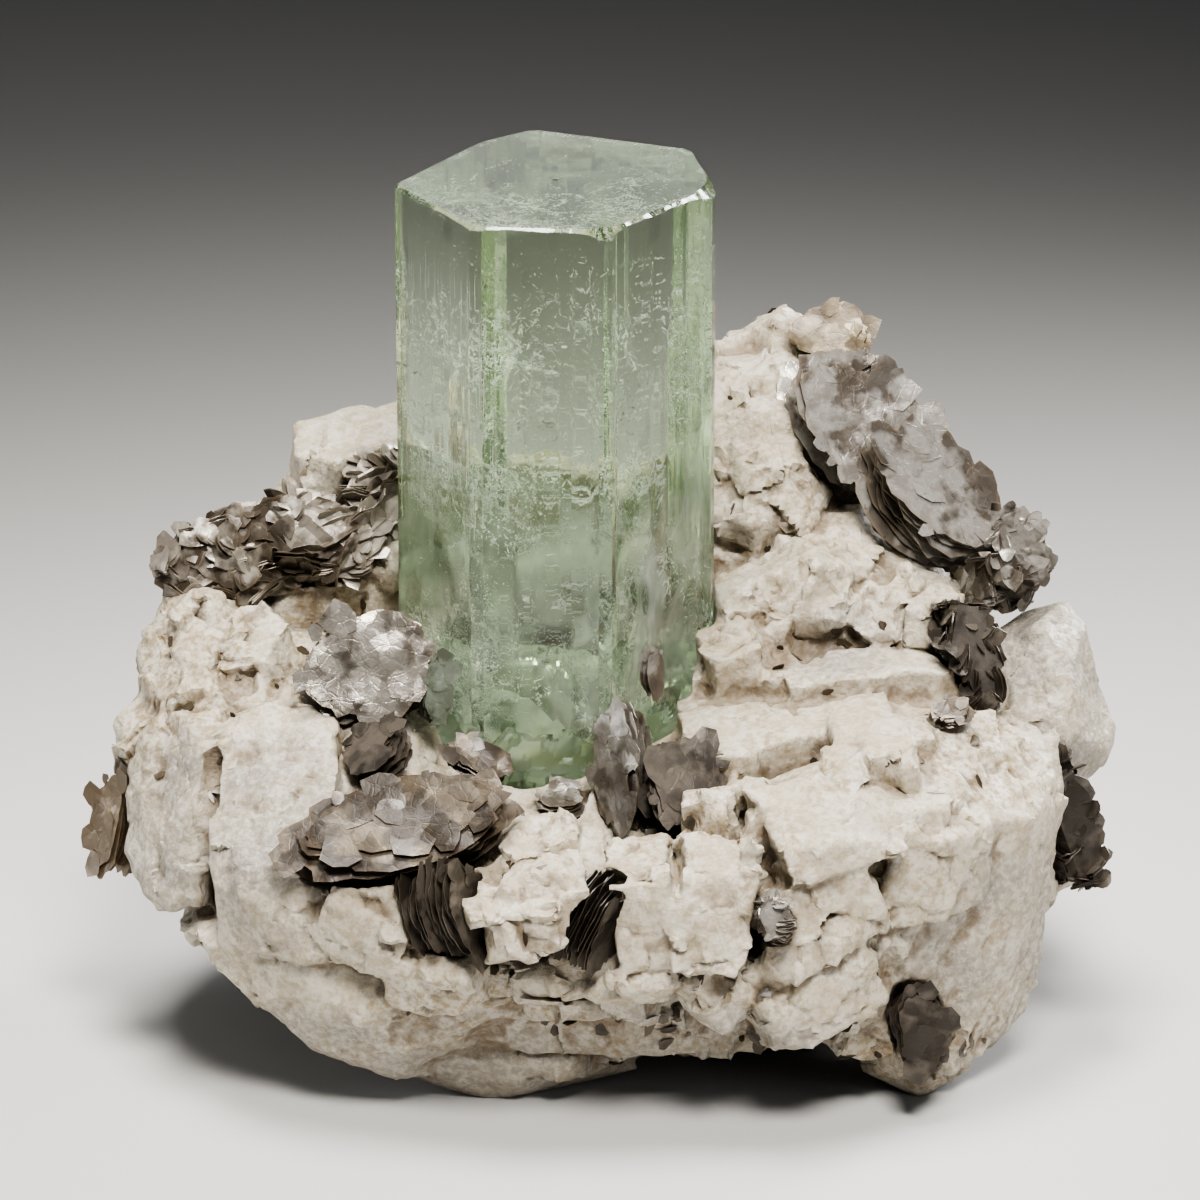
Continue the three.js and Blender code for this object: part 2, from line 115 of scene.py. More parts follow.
def ramp(low, high, values):
    share = np.clip((values - low) / (high - low), 0, 1)
    return share * share * (3 - 2 * share)


def unit(vectors):
    vectors = np.asarray(vectors, float)
    return vectors / np.maximum(np.linalg.norm(vectors, axis=-1, keepdims=True), 1e-9)


def blob(points, middle, reach):  # 1 inside an ellipsoid, soft at its border
    far = np.sqrt((((points - middle) / reach) ** 2).sum(axis=1))
    return 1 - ramp(0.75, 1.15, far)


def columns(*parts):
    return np.stack(parts, axis=1)


def raised(plan, height):  # points of a plan, at one height or one for each
    return np.column_stack([plan[:, :2], np.broadcast_to(height, len(plan))])


# meshes as arrays, in millimetres
def fromMesh(mesh, field):
    values = np.empty(len(mesh.vertices) * 3)
    mesh.vertices.foreach_get(field, values)
    return values.reshape(-1, 3)


def meshPoints(mesh):
    return fromMesh(mesh, "co") / mm


def nodeArrays(name):
    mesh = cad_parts[name].data
    mesh.calc_loop_triangles()
    tris = np.empty(len(mesh.loop_triangles) * 3, np.int32)
    mesh.loop_triangles.foreach_get("vertices", tris)
    return meshPoints(mesh), tris.reshape(-1, 3)


def scatterOn(points, tris, count, random):
    a, b, c = (points[tris[:, k]] for k in range(3))
    normals = np.cross(b - a, c - a) / 2
    area = np.linalg.norm(normals, axis=1)
    picked = random.choice(len(tris), count, p=area / area.sum())
    u, v = random.random((2, count))
    flip = u + v > 1
    u[flip], v[flip] = 1 - u[flip], 1 - v[flip]
    a, b, c = a[picked], b[picked], c[picked]
    return a + (b - a) * u[:, None] + (c - a) * v[:, None], unit(normals[picked])


def merged(shells):
    points, faces, start = [], [], 0
    for shellPoints, shellFaces in shells:
        points.append(shellPoints)
        faces.append(shellFaces + start)
        start += len(shellPoints)
    return np.concatenate(points), np.concatenate(faces)


def copies(corners, faces, middles, frames):  # one small shell at each middle, in its own frame
    points = middles[:, None, :] + np.einsum("nck,nkx->ncx", corners, frames)
    starts = corners.shape[1] * np.arange(len(middles))
    return points.reshape(-1, 3), (np.array(faces)[None] + starts[:, None, None]).reshape(-1, 3)


def framesAbout(normals, turns):  # rows are the axes: normal last, the others turned round it
    helper = np.where(np.abs(normals[:, 2:]) < 0.9, (0, 0, 1.0), (1.0, 0, 0))
    across = unit(np.cross(helper, normals))
    along = np.cross(normals, across)
    cos, sin = np.cos(turns)[:, None], np.sin(turns)[:, None]
    return columns(across * cos + along * sin, along * cos - across * sin, normals)


def looseFrames(ways, lean, random):  # leaning a little from their ways, and turned at random
    ways = unit(ways + lean * random.standard_normal((len(ways), 3)))
    return framesAbout(ways, fullTurn * random.random(len(ways)))


def makeObject(name, points, faces):
    mesh = bpy.data.meshes.new(name)
    mesh.from_pydata((points * mm).tolist(), [], faces.tolist())
    mesh.update()
    piece = bpy.data.objects.new(name, mesh)
    scene.collection.objects.link(piece)
    return piece


def setPoints(mesh, points):
    mesh.vertices.foreach_set("co", (points * mm).ravel())
    mesh.update()


def applied(piece):  # the piece's mesh with its modifiers done
    graph = bpy.context.evaluated_depsgraph_get()
    mesh = bpy.data.meshes.new_from_object(piece.evaluated_get(graph))
    piece.modifiers.clear()
    piece.data = mesh
    return mesh


def meshEdges(mesh):  # the edges, and how many meet at each point
    edges = np.empty(len(mesh.edges) * 2, np.int32)
    mesh.edges.foreach_get("vertices", edges)
    edges = edges.reshape(-1, 2)
    return edges, np.maximum(np.bincount(edges.ravel(), minlength=len(mesh.vertices)), 1)


def neighbourMean(points, edges, counts):
    total = np.zeros_like(points)
    for axis in range(3):
        total[:, axis] += np.bincount(edges[:, 0], points[edges[:, 1], axis], len(points))
        total[:, axis] += np.bincount(edges[:, 1], points[edges[:, 0], axis], len(points))
    return total / counts[:, None]


def paint(mesh, name, channels):  # up to three masks, one value for each point
    colours = np.ones((len(mesh.vertices), 4))
    for k, values in enumerate(channels):
        colours[:, k] = values
    layer = mesh.attributes.new(name, "FLOAT_COLOR", "POINT")
    layer.data.foreach_set("color", colours.ravel())


def smoothShade(mesh, angle=None):
    mesh.shade_smooth()
    if angle:
        mesh.set_sharp_from_angle(angle=math.radians(angle))


def dress(piece, finish, slot, *nodes):
    piece.data.materials.append(finish)
    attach(piece, "root")
    if nodes:
        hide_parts(*nodes)


# shader sockets as Python values
class Wire:
    tree = None

    def __init__(self, socket):
        self.socket = socket

    @classmethod
    def node(cls, kind, settings=None, links=None):
        made = cls.tree.nodes.new("ShaderNode" + kind)
        for name, value in (settings or {}).items():
            setattr(made, name, value)
        for name, value in (links or {}).items():
            if isinstance(value, Wire):
                cls.tree.links.new(value.socket, made.inputs[name])
            else:
                made.inputs[name].default_value = value
        return made

    @classmethod
    def make(cls, kind, settings=None, links=None, out=0):
        return cls(cls.node(kind, settings, links).outputs[out])

    def math(self, operation, other, turned=False):
        pair = (other, self) if turned else (self, other)
        return Wire.make("Math", {"operation": operation}, dict(enumerate(pair)))

    def __add__(self, other): return self.math("ADD", other)
    def __radd__(self, other): return self.math("ADD", other)
    def __sub__(self, other): return self.math("SUBTRACT", other)
    def __rsub__(self, other): return self.math("SUBTRACT", other, True)
    def __mul__(self, other): return self.math("MULTIPLY", other)
    def __rmul__(self, other): return self.math("MULTIPLY", other)

    def between(self, low, high):  # 0 at low, 1 at high, soft
        return Wire.make("MapRange", {"interpolation_type": "SMOOTHSTEP"}, {0: self, 1: low, 2: high})


def blend(share, first, second):
    colours = [c if isinstance(c, Wire) else (*c, 1) for c in (first, second)]
    return Wire.make("Mix", {"data_type": "RGBA"}, {0: share, 6: colours[0], 7: colours[1]}, 2)


def vectors(operation, first, other, socket=1, out=0):
    return Wire.make("VectorMath", {"operation": operation}, {0: first, socket: other}, out)


def here():
    return Wire.make("TexCoord", out=3)


def speckle(size, detail=3, roughness=0.55):
    return Wire.make("TexNoise", None, {"Vector": here(), "Scale": 1 / (size * mm), "Detail": detail,
                                        "Roughness": roughness})


def facets(size):  # height of a surface broken in small flat grains, each with a slope of its own
    cells = Wire.node("TexVoronoi", None, {"Vector": here(), "Scale": 1 / (size * mm)})
    scaled = vectors("SCALE", here(), 1 / (size * mm), 3)
    away = vectors("SUBTRACT", scaled, Wire(cells.outputs["Position"]))
    way = vectors("SUBTRACT", Wire(cells.outputs["Color"]), (0.5, 0.5, 0.5))
    return vectors("DOT_PRODUCT", away, way, out=1)


def bump(height, distance, strength):
    return Wire.make("Bump", None, {"Height": height, "Distance": distance * mm, "Strength": strength})


def startFinish(name):
    finish = bpy.data.materials.new(name)
    finish.use_nodes = True
    Wire.tree = finish.node_tree
    finish.node_tree.nodes.clear()
    return finish


def endFinish(finish, sockets, volume=None):
    shader = Wire.node("BsdfPrincipled", None, sockets)
    ends = {"Surface": Wire(shader.outputs[0])}
    if volume:
        ends["Volume"] = volume
    Wire.node("OutputMaterial", None, ends)
    return finish


def masks(name):
    split = Wire.node("SeparateColor", None, {0: Wire.make("Attribute", {"attribute_name": name})})
    return [Wire(split.outputs[k]) for k in range(3)]


# camera
view = {"target": (-0.5, -1.3, 48), "rise": 18.5, "distance": 750, "focal": 6975, "frame": 1200, "sensor": 36}


def makeCamera():
    camera = bpy.data.objects.new("camera", bpy.data.cameras.new("camera"))
    scene.collection.objects.link(camera)
    rise = math.radians(view["rise"])
    target = Vector(view["target"]) * mm
    camera.location = target + Vector((0, -math.cos(rise), math.sin(rise))) * view["distance"] * mm
    camera.rotation_euler = (math.pi / 2 - rise, 0, 0)
    camera.data.sensor_width = view["sensor"]
    camera.data.lens = view["sensor"] * view["focal"] / view["frame"]
    camera.data.clip_start = 0.01
    camera.data.clip_end = 10
    scene.camera = camera


makeCamera()
print("camera set")

# floor and light
studio = {
    "floor": (0.58, 0.57, 0.55),
    "floorSide": 3000, "floorRoughness": 0.85,
    "world": (0.30, 0.31, 0.33),
    "worldStrength": 0.18,
    # place, aim, size, power, spread, colour
    "lights": {
        "key": ((90, -440, 600), (0, -60, 35), (220, 200), 0.60, 48, (1.0, 0.965, 0.92)),
        "fill": ((520, -420, 240), (0, -20, 40), (280, 320), 0.085, 70, (0.98, 0.98, 1.0)),
        "top": ((-60, -20, 620), (0, -20, 60), (240, 220), 0.52, 52, (1.0, 0.985, 0.96)),
        "rim": ((340, 330, 260), (0, 0, 65), (160, 240), 0.30, 46, (0.98, 0.99, 1.0)),
        "back": ((-40, 800, 345), (0, 0, 93), (420, 170), 0.018, 60, (1.0, 0.99, 0.97)),
        "left": ((-600, 60, 150), (0, 0, 55), (220, 260), 0.13, 60, (0.98, 0.99, 1.0)),
    },
    # light inside the crystal turns back many times, so it needs the glossy ones
    "tracing": {"use_denoising": True, "use_light_tree": False, "max_bounces": 9, "diffuse_bounces": 1,
                "glossy_bounces": 7, "transmission_bounces": 8, "transparent_max_bounces": 16},
}


def makeStudio():
    side = studio["floorSide"]
    points = np.array([[-side, -side, 0], [side, -side, 0], [side, side, 0], [-side, side, 0]], float)
    floor = makeObject("floor", points, np.array([[0, 1, 2, 3]]))
    finish = startFinish("pale floor")
    endFinish(finish, {"Base Color": (*studio["floor"], 1), "Roughness": studio["floorRoughness"]})
    floor.data.materials.append(finish)
    world = bpy.data.worlds.new("studio")
    world.use_nodes = True
    background = world.node_tree.nodes["Background"]
    background.inputs[0].default_value = (*studio["world"], 1)
    background.inputs[1].default_value = studio["worldStrength"]
    scene.world = world
    for name, (place, aim, size, power, spread, colour) in studio["lights"].items():
        lamp = bpy.data.lights.new(name, "AREA")
        lamp.shape = "RECTANGLE"
        lamp.size, lamp.size_y = size[0] * mm, size[1] * mm
        lamp.energy = power
        lamp.color = colour
        lamp.spread = math.radians(spread)
        light = bpy.data.objects.new(name, lamp)
        light.location = Vector(place) * mm
        light.rotation_euler = (Vector(aim) - Vector(place)).to_track_quat("-Z", "Y").to_euler()
        scene.collection.objects.link(light)
    for name, value in studio["tracing"].items():
        setattr(scene.cycles, name, value)
    scene.view_settings.view_transform = "AgX"
    scene.view_settings.look = "AgX - Medium High Contrast"


makeStudio()
print("floor and lights set")

# the crystal, whose outline the rock around it needs too
crystal = {
    "corners": [(-22.61, 1.66), (-13.71, -15.14), (0.29, -16.94), (11.89, 0.56), (9.49, 16.46),
                (-7.91, 25.06), (-13.71, 19.46)],
    "edgeFace": 0.9, "foot": 27.2, "top": 93.4, "bevel": 0.36, "bevelSlope": 0.85,
    "spacing": 0.5, "rows": 110, "topRings": 26, "footRings": 10, "seed": 31,
    # place, reach and depth of the chips at the corners of the bevel
    "chips": [((0.3, -16.9), 1.8, 1.0), ((-13.7, -15.1), 1.2, 0.3), ((11.9, 0.6), 3.0, 0.9)],
    "stepWidths": (0.3, 2.2), "stepDepths": (0.015, 0.10),
    "footTop": 38.5, "footNeck": 33.5,
    "tint": (0.955, 1.0, 0.93), "stainTint": (0.42, 0.30, 0.18), "goldTint": (0.88, 0.86, 0.50),
    "polish": 0.015, "frostRoughness": 0.34,
    "ior": 1.577, "absorb": (0.64, 0.86, 0.42), "density": 12.5,
}


def crystalOutline():
    corners = np.array(crystal["corners"])
    outline = []
    for i, corner in enumerate(corners):
        for other in (corners[i - 1], corners[(i + 1) % len(corners)]):
            outline.append(corner + unit(other - corner) * crystal["edgeFace"])
    return np.array(outline), corners.mean(axis=0)


outline, crystalMiddle = crystalOutline()
sideWays = np.roll(outline, -1, axis=0) - outline
sideNormals = unit(columns(sideWays[:, 1], -sideWays[:, 0]))


def outsideCrystal(points):  # how far a point is out of the prism's sides; less than 0 is inside
    gaps = (points[:, None, :2] - outline[None]) * sideNormals[None]
    return gaps.sum(axis=2).max(axis=1)


# everything of mica, for the rock to keep clear of
micaNodes = [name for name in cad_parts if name.startswith("mica")]
micaRandom = np.random.default_rng(3)
micaCloud = np.concatenate([scatterOn(*nodeArrays(name), 900, micaRandom)[0] for name in micaNodes])
micaTree = KDTree(len(micaCloud))
for i, point in enumerate(micaCloud):
    micaTree.insert(point, i)
micaTree.balance()


def micaGap(points):
    return np.array([micaTree.find(point)[2] for point in points])


# rock
rock = {
    "voxel": 0.41, "triangles": 192000, "sharpAngle": 40, "seed": 5,
    "chips": 2200, "chipHalves": [(1.0, 3.4), (0.8, 2.4), (0.6, 1.6)], "grains": 1000,
    # lumps: size, slope, groove depth, groove width
    "lumps": [(4.6, 0.15, 0.08, 0.30), (1.7, 0.11, 0.02, 0.20)],
    # cleavage steps: pitch and how far they cut, in grains that each lie their own way
    "cleavage": [(5.6, 0.34), (2.1, 0.22)],
    "cleavageWay": (-0.1, -0.25, 0.95), "domain": 17.0,
    # the square blocks on the slope in front of the crystal
    "stepMiddle": (25.0, -11.0), "stepTurn": 0.2, "stepPitch": 5.0, "stepDeep": 2.6,
    "stepLifts": [0.15, 0.5, 0.95], "stepWay": (-0.06, -0.16, 0.98),
    # smooth blocks, sugary mass, steps, beige lumps, grey faces: middles and reaches
    "smooth": [((-34.5, -24, 31), (9, 12, 18)), ((-45, -13, 28), (8, 11, 12)), ((-27, 26, 52), (11, 12, 14)),
               ((48, 5, 34), (11, 15, 14)), ((23, -30, 33), (9, 9, 6)), ((36, -18, 20), (15, 13, 18)),
               ((-26, -24, 10), (20, 17, 11))],
    "sugar": [((23, 8, 46), (17, 15, 13)), ((16, 26, 60), (12, 12, 12)), ((36, -14, 38), (9, 8, 7))],
    "steps": [((24, -12, 38), (19, 15, 8))],
    "beige": [((-46, -4, 38), (11, 12, 14)), ((-30, 2, 40), (9, 9, 9)), ((14, 0, 40), (7, 8, 6)),
              ((-17, -36, 13), (10, 8, 7)), ((33, -30, 4), (10, 10, 6)), ((38, -18, 36), (8, 8, 6))],
    "grey": [((38, -20, 14), (14, 12, 16)), ((-18, -24, 8), (24, 14, 9)), ((-44, -14, 24), (9, 11, 14)),
             ((10, -34, 10), (16, 10, 6)), ((26, -2, 42), (8, 8, 6)), ((-34, -26, 31), (8, 11, 17)),
             ((48, 5, 34), (10, 15, 14))],
    # fine ribs on four faces: middle, reach, way along, way across, depth
    "ribs": [((38, -20, 19), (15, 13, 18), (0.40, 0.20, 0.89), (0.80, 0.41, -0.45), 0.30),
             ((-8, -38, 27), (8, 7, 8), (0.95, 0, -0.3), (0.25, -0.1, 0.95), 0.28),
             ((-34.5, -26, 31), (9, 12, 18), (-0.05, -0.3, 0.95), (0.95, 0.1, 0.05), 0.14),
             ((22, -32, 20), (9, 8, 9), (0.85, 0.1, 0.45), (-0.4, 0, 0.9), 0.30)],
    # hollows that hold stain and painted shade: depth that counts as full, and share, after so many rounds of
    # levelling
    "hollows": {5: (0.18, 0.3), 24: (0.5, 0.4), 69: (1.1, 0.3)},
    "cream": (0.45, 0.385, 0.285), "paleTone": (0.58, 0.53, 0.44), "beigeTone": (0.32, 0.245, 0.14),
    # the stain tone also paints the shade in the hollows, round the mica and low down
    "stainAndShadeTone": (0.145, 0.10, 0.055), "greyTone": (0.275, 0.255, 0.225),
    "roughness": 0.36, "bumpDeep": 0.26,
}


def zone(points, name):
    total = np.zeros(len(points))
    for middle, reach in rock[name]:
        total = np.maximum(total, blob(points, middle, reach))
    return total


def boxShells(middles, frames, halves, random, skew=0.12):
    signs = np.array([[x, y, z] for x in (-1, 1) for y in (-1, 1) for z in (-1, 1)], float)
    faces = [[0, 1, 3], [0, 3, 2], [4, 6, 7], [4, 7, 5], [0, 4, 5], [0, 5, 1], [2, 3, 7], [2, 7, 6],
             [0, 2, 6], [0, 6, 4], [1, 5, 7], [1, 7, 3]]
    corners = signs[None] * halves[:, None, :] * (1 - skew * random.random((len(middles), 8, 3)))
    return copies(corners, faces, middles, frames)


def stepBlocks(points, tris, random):
    # rows of small square-cleaved blocks that climb the slope
    tree = BVHTree.FromPolygons(points.tolist(), tris.tolist())
    turn, pitch, deep = rock["stepTurn"], rock["stepPitch"], rock["stepDeep"]
    across = np.array([math.cos(turn), math.sin(turn)])
    along = np.array([-math.sin(turn), math.cos(turn)])
    middles, halves = [], []
    for row in range(-9, 6):
        for column in range(-10, 11):
            wide = np.array([pitch * random.uniform(0.45, 0.85), pitch * random.uniform(0.4, 0.62), deep])
            place = rock["stepMiddle"] + across * pitch * (column + 0.5 * (row % 2))
            place = place + along * pitch * 0.9 * row + random.uniform(-0.35, 0.35, 2)
            hit = tree.ray_cast(Vector((*place, 120)), Vector((0, 0, -1)))[0]
            if hit is None or random.random() < 0.14:
                continue
            lift = random.choice(rock["stepLifts"]) * random.uniform(0.7, 1.25)
            middles.append((*place, hit.z - deep + lift))
            halves.append(wide)
    middles, halves = np.array(middles), np.array(halves)
    keep = (zone(middles, "steps") > 0.4) & (outsideCrystal(middles) > 3.4)
    keep &= micaGap(middles + halves * (0, 0, 1)) > 2.2
    middles, halves = middles[keep], halves[keep]
    count = len(middles)
    ways = unit(rock["stepWay"] + 0.035 * random.standard_normal((count, 3)))
    frames = framesAbout(ways, turn + 0.05 * random.standard_normal(count))
    return boxShells(middles, frames, halves, random, 0.05)


def rockChips(points, tris, random):
    # cleaved slabs that lie along the faces of the rock
    places, normals = scatterOn(points, tris, rock["chips"], random)
    count = len(places)
    turns = 2 * math.pi * cellHash(np.floor(places / 14), 7) + 0.12 * random.standard_normal(count)
    lean = 0.13 * random.standard_normal((count, 3))
    steps, sugar, smooth = (zone(places, name) for name in ("steps", "sugar", "smooth"))
    frames = framesAbout(unit(normals + lean), turns)
    halves = columns(*(random.uniform(*sizes, count) for sizes in rock["chipHalves"]))
    halves[sugar > 0.5] *= 0.6
    lifts = random.uniform(0.05, 0.6, count) * (1 - 0.75 * smooth)
    keep = micaGap(places) > halves.max(axis=1) * 0.6 + 0.5
    keep &= (outsideCrystal(places) > 2.6) & (places[:, 2] > 3)
    keep &= (random.random(count) < 0.13 + 0.22 * sugar - 0.12 * smooth) & (steps < 0.5)
    reach = np.abs(np.einsum("nkx,nx->nk", frames, normals)) * halves
    middles = places + normals * (lifts - reach.sum(axis=1))[:, None]
    shells = [boxShells(middles[keep], frames[keep], halves[keep], random), stepBlocks(points, tris, random)]

    # small grains, most of them in the sugary mass
    places, normals = scatterOn(points, tris, 9 * rock["grains"], random)
    wanted = zone(places, "sugar") + 0.03 + 0.3 * zone(places, "beige")
    keep = (random.random(len(places)) < wanted * 0.45) & (micaGap(places) > 1.4)
    keep &= (outsideCrystal(places) > 1.8) & (places[:, 2] > 3)
    places, normals = places[keep][: rock["grains"]], normals[keep][: rock["grains"]]
    count = len(places)
    frames = looseFrames(normals, 0.5, random)
    halves = random.uniform(0.4, 1.0, (count, 1)) * random.uniform(0.7, 1.2, (count, 3))
    middles = places + normals * (random.uniform(-0.6, 0.1, count) * halves[:, 0])[:, None]
    shells.append(boxShells(middles, frames, halves, random))
    return shells


def cleaved(points, bent, share):
    # every grain is stepped along three planes of its own, as feldspar breaks
    own = grains(bent, rock["domain"], 80)[3]
    lean = hashes(own, 81) - 0.5
    axes = framesAbout(unit(rock["cleavageWay"] + 0.9 * lean), 2 * math.pi * cellHash(own, 84))
    for pitch, cut in rock["cleavage"]:
        reach = np.einsum("nkx,nx->nk", axes, points) / pitch
        reach += 0.6 * noises(points, 2.2 * pitch, 90)
        shift = np.floor(reach) + ramp(0.34, 0.66, reach - np.floor(reach)) - reach
        cut = cut * ramp(-0.45, 0.25, noise(points, 2.5 * pitch, 94))
        points = points + np.einsum("nk,nkx->nx", shift * (cut * pitch * share)[:, None], axes)
    return points


def rockLift(points, bent, smooth, sugar, steps):  # how far each point of the skin moves out
    lift = 0.40 * noise(points, 15, 1) + 0.22 * noise(points, 6, 2)
    calm = (1 - 0.7 * smooth) * (1 - 0.7 * steps)
    for size, slope, depth, width in rock["lumps"]:
        first, second, away, own = grains(bent, size, int(size * 10))
        groove = np.exp(-(((second - first) / width) ** 2))
        lift += calm * (slope * tiltOf(away, own, 7) - depth * groove)
    lift += 0.05 * layeredNoise(points, 1.5, 3, 21) * (1 + 1.2 * sugar - 0.4 * smooth)
    for middle, reach, along, across, depth in rock["ribs"]:
        runs = columns(points @ across, points @ along * 0.16, points[:, 1] * 0.3)
        lift += blob(points, middle, reach) * depth * (noise(runs, 1.5, 61) + 0.6 * noise(runs, 0.7, 62))
    return lift


def rockTones(mesh):  # stain with painted shade, beige and grey of each point
    points, normals = meshPoints(mesh), fromMesh(mesh, "normal")
    edges, counts = meshEdges(mesh)
    level, hollows = points.copy(), np.zeros(len(points))
    for turn in range(max(rock["hollows"]) + 1):
        level = level + 0.8 * (neighbourMean(level, edges, counts) - level)
        if turn in rock["hollows"]:
            full, share = rock["hollows"][turn]
            hollows += ramp(0.02, full, ((level - points) * normals).sum(axis=1)) * share
    # painted shadow: the rock darker close round the mica
    paintedShadowByMica = 1 - ramp(0.3, 3.0, micaGap(points))
    patches = ramp(0.1, 0.7, layeredNoise(points, 9, 3, 41))
    beige = np.clip(zone(points, "beige") * 0.9 + 0.7 * patches, 0, 1)
    # painted shade: darker towards the bottom of the rock, in noisy patches
    under = (1 - ramp(1, 15, points[:, 2])) * ramp(-0.5, 0.4, layeredNoise(points, 6, 3, 46))
    # stain and painted shade together: stain and shade in the hollows, painted shadow round the mica, painted
    # shade low down
    stainAndShade = np.clip(hollows * (0.85 + 0.6 * beige) + 0.4 * paintedShadowByMica + 0.42 * under, 0, 1)
    grey = np.clip(zone(points, "grey") * (0.6 + 0.5 * noise(points, 7, 43)), 0, 1)
    return stainAndShade, beige, grey


def makeRock():
    random = np.random.default_rng(rock["seed"])
    points, tris = nodeArrays("feldspar_matrix")
    piece = makeObject("feldspar_rock", *merged([(points, tris)] + rockChips(points, tris, random)))
    remesh = piece.modifiers.new("one skin", "REMESH")
    remesh.mode = "VOXEL"
    remesh.voxel_size = rock["voxel"] * mm
    mesh = applied(piece)
    edges, counts = meshEdges(mesh)
    points = meshPoints(mesh)
    for turn in range(2):
        points += 0.35 * (neighbourMean(points, edges, counts) - points)
    setPoints(mesh, points)
    normals = fromMesh(mesh, "normal")
    print("rock skinned:", len(points), "points")

    # quiet beside the crystal, the mica and the face that it rests on
    quiet = ramp(0.4, 2.2, outsideCrystal(points)) * ramp(0.15, 1.6, micaGap(points))
    quiet = quiet * ramp(0.4, 3.0, points[:, 2])
    smooth, sugar, steps = (zone(points, name) for name in ("smooth", "sugar", "steps"))
    bent = points + noises(points, 9, 50) * 1.4
    lift = rockLift(points, bent, smooth, sugar, steps)
    share = quiet * (1 - 0.5 * smooth) * (1 - 0.85 * steps)
    points = cleaved(points + normals * (lift * quiet)[:, None], bent, share)
    points[:, 2] = np.maximum(points[:, 2], 0)
    setPoints(mesh, points)

    thin = piece.modifiers.new("thinned", "DECIMATE")
    thin.ratio = min(1, rock["triangles"] / (2 * len(mesh.polygons)))
    mesh = applied(piece)
    paint(mesh, "rockTone", rockTones(mesh))
    smoothShade(mesh, rock["sharpAngle"])
    dress(piece, rockFinish(), "feldspar", "feldspar_matrix")
    print("rock cut:", len(mesh.polygons), "triangles")
    return piece


def rockFinish():
    finish = startFinish("cream feldspar")
    stainAndShade, beige, grey = masks("rockTone")
    cloudy = speckle(3.2, 5, 0.6)
    fine = speckle(0.8, 3, 0.65)
    mottle = 0.7 * cloudy.between(0.4, 0.6) + 0.5 * fine.between(0.42, 0.62)
    colour = blend(mottle, rock["paleTone"], rock["cream"])
    colour = blend(grey * (0.35 + 0.9 * fine.between(0.3, 0.65)), colour, rock["greyTone"])
    colour = blend((beige + 0.25) * fine.between(0.44, 0.7) * (0.3 + cloudy), colour, rock["beigeTone"])
    # dark brown of stain and of painted shade in the hollows, round the mica and low down
    colour = blend(stainAndShade.between(0.05, 0.75) * (0.4 + 0.6 * fine), colour, rock["stainAndShadeTone"])
    height = 0.6 * facets(0.75) + 0.9 * fine
    return endFinish(finish, {
        "Base Color": colour,
        "Roughness": rock["roughness"] + 0.3 * cloudy.between(0.3, 0.7) + 0.12 * stainAndShade,
        "Specular IOR Level": 0.5,
        "Normal": bump(height, rock["bumpDeep"], 1.0),
    })


rockPiece = makeRock()

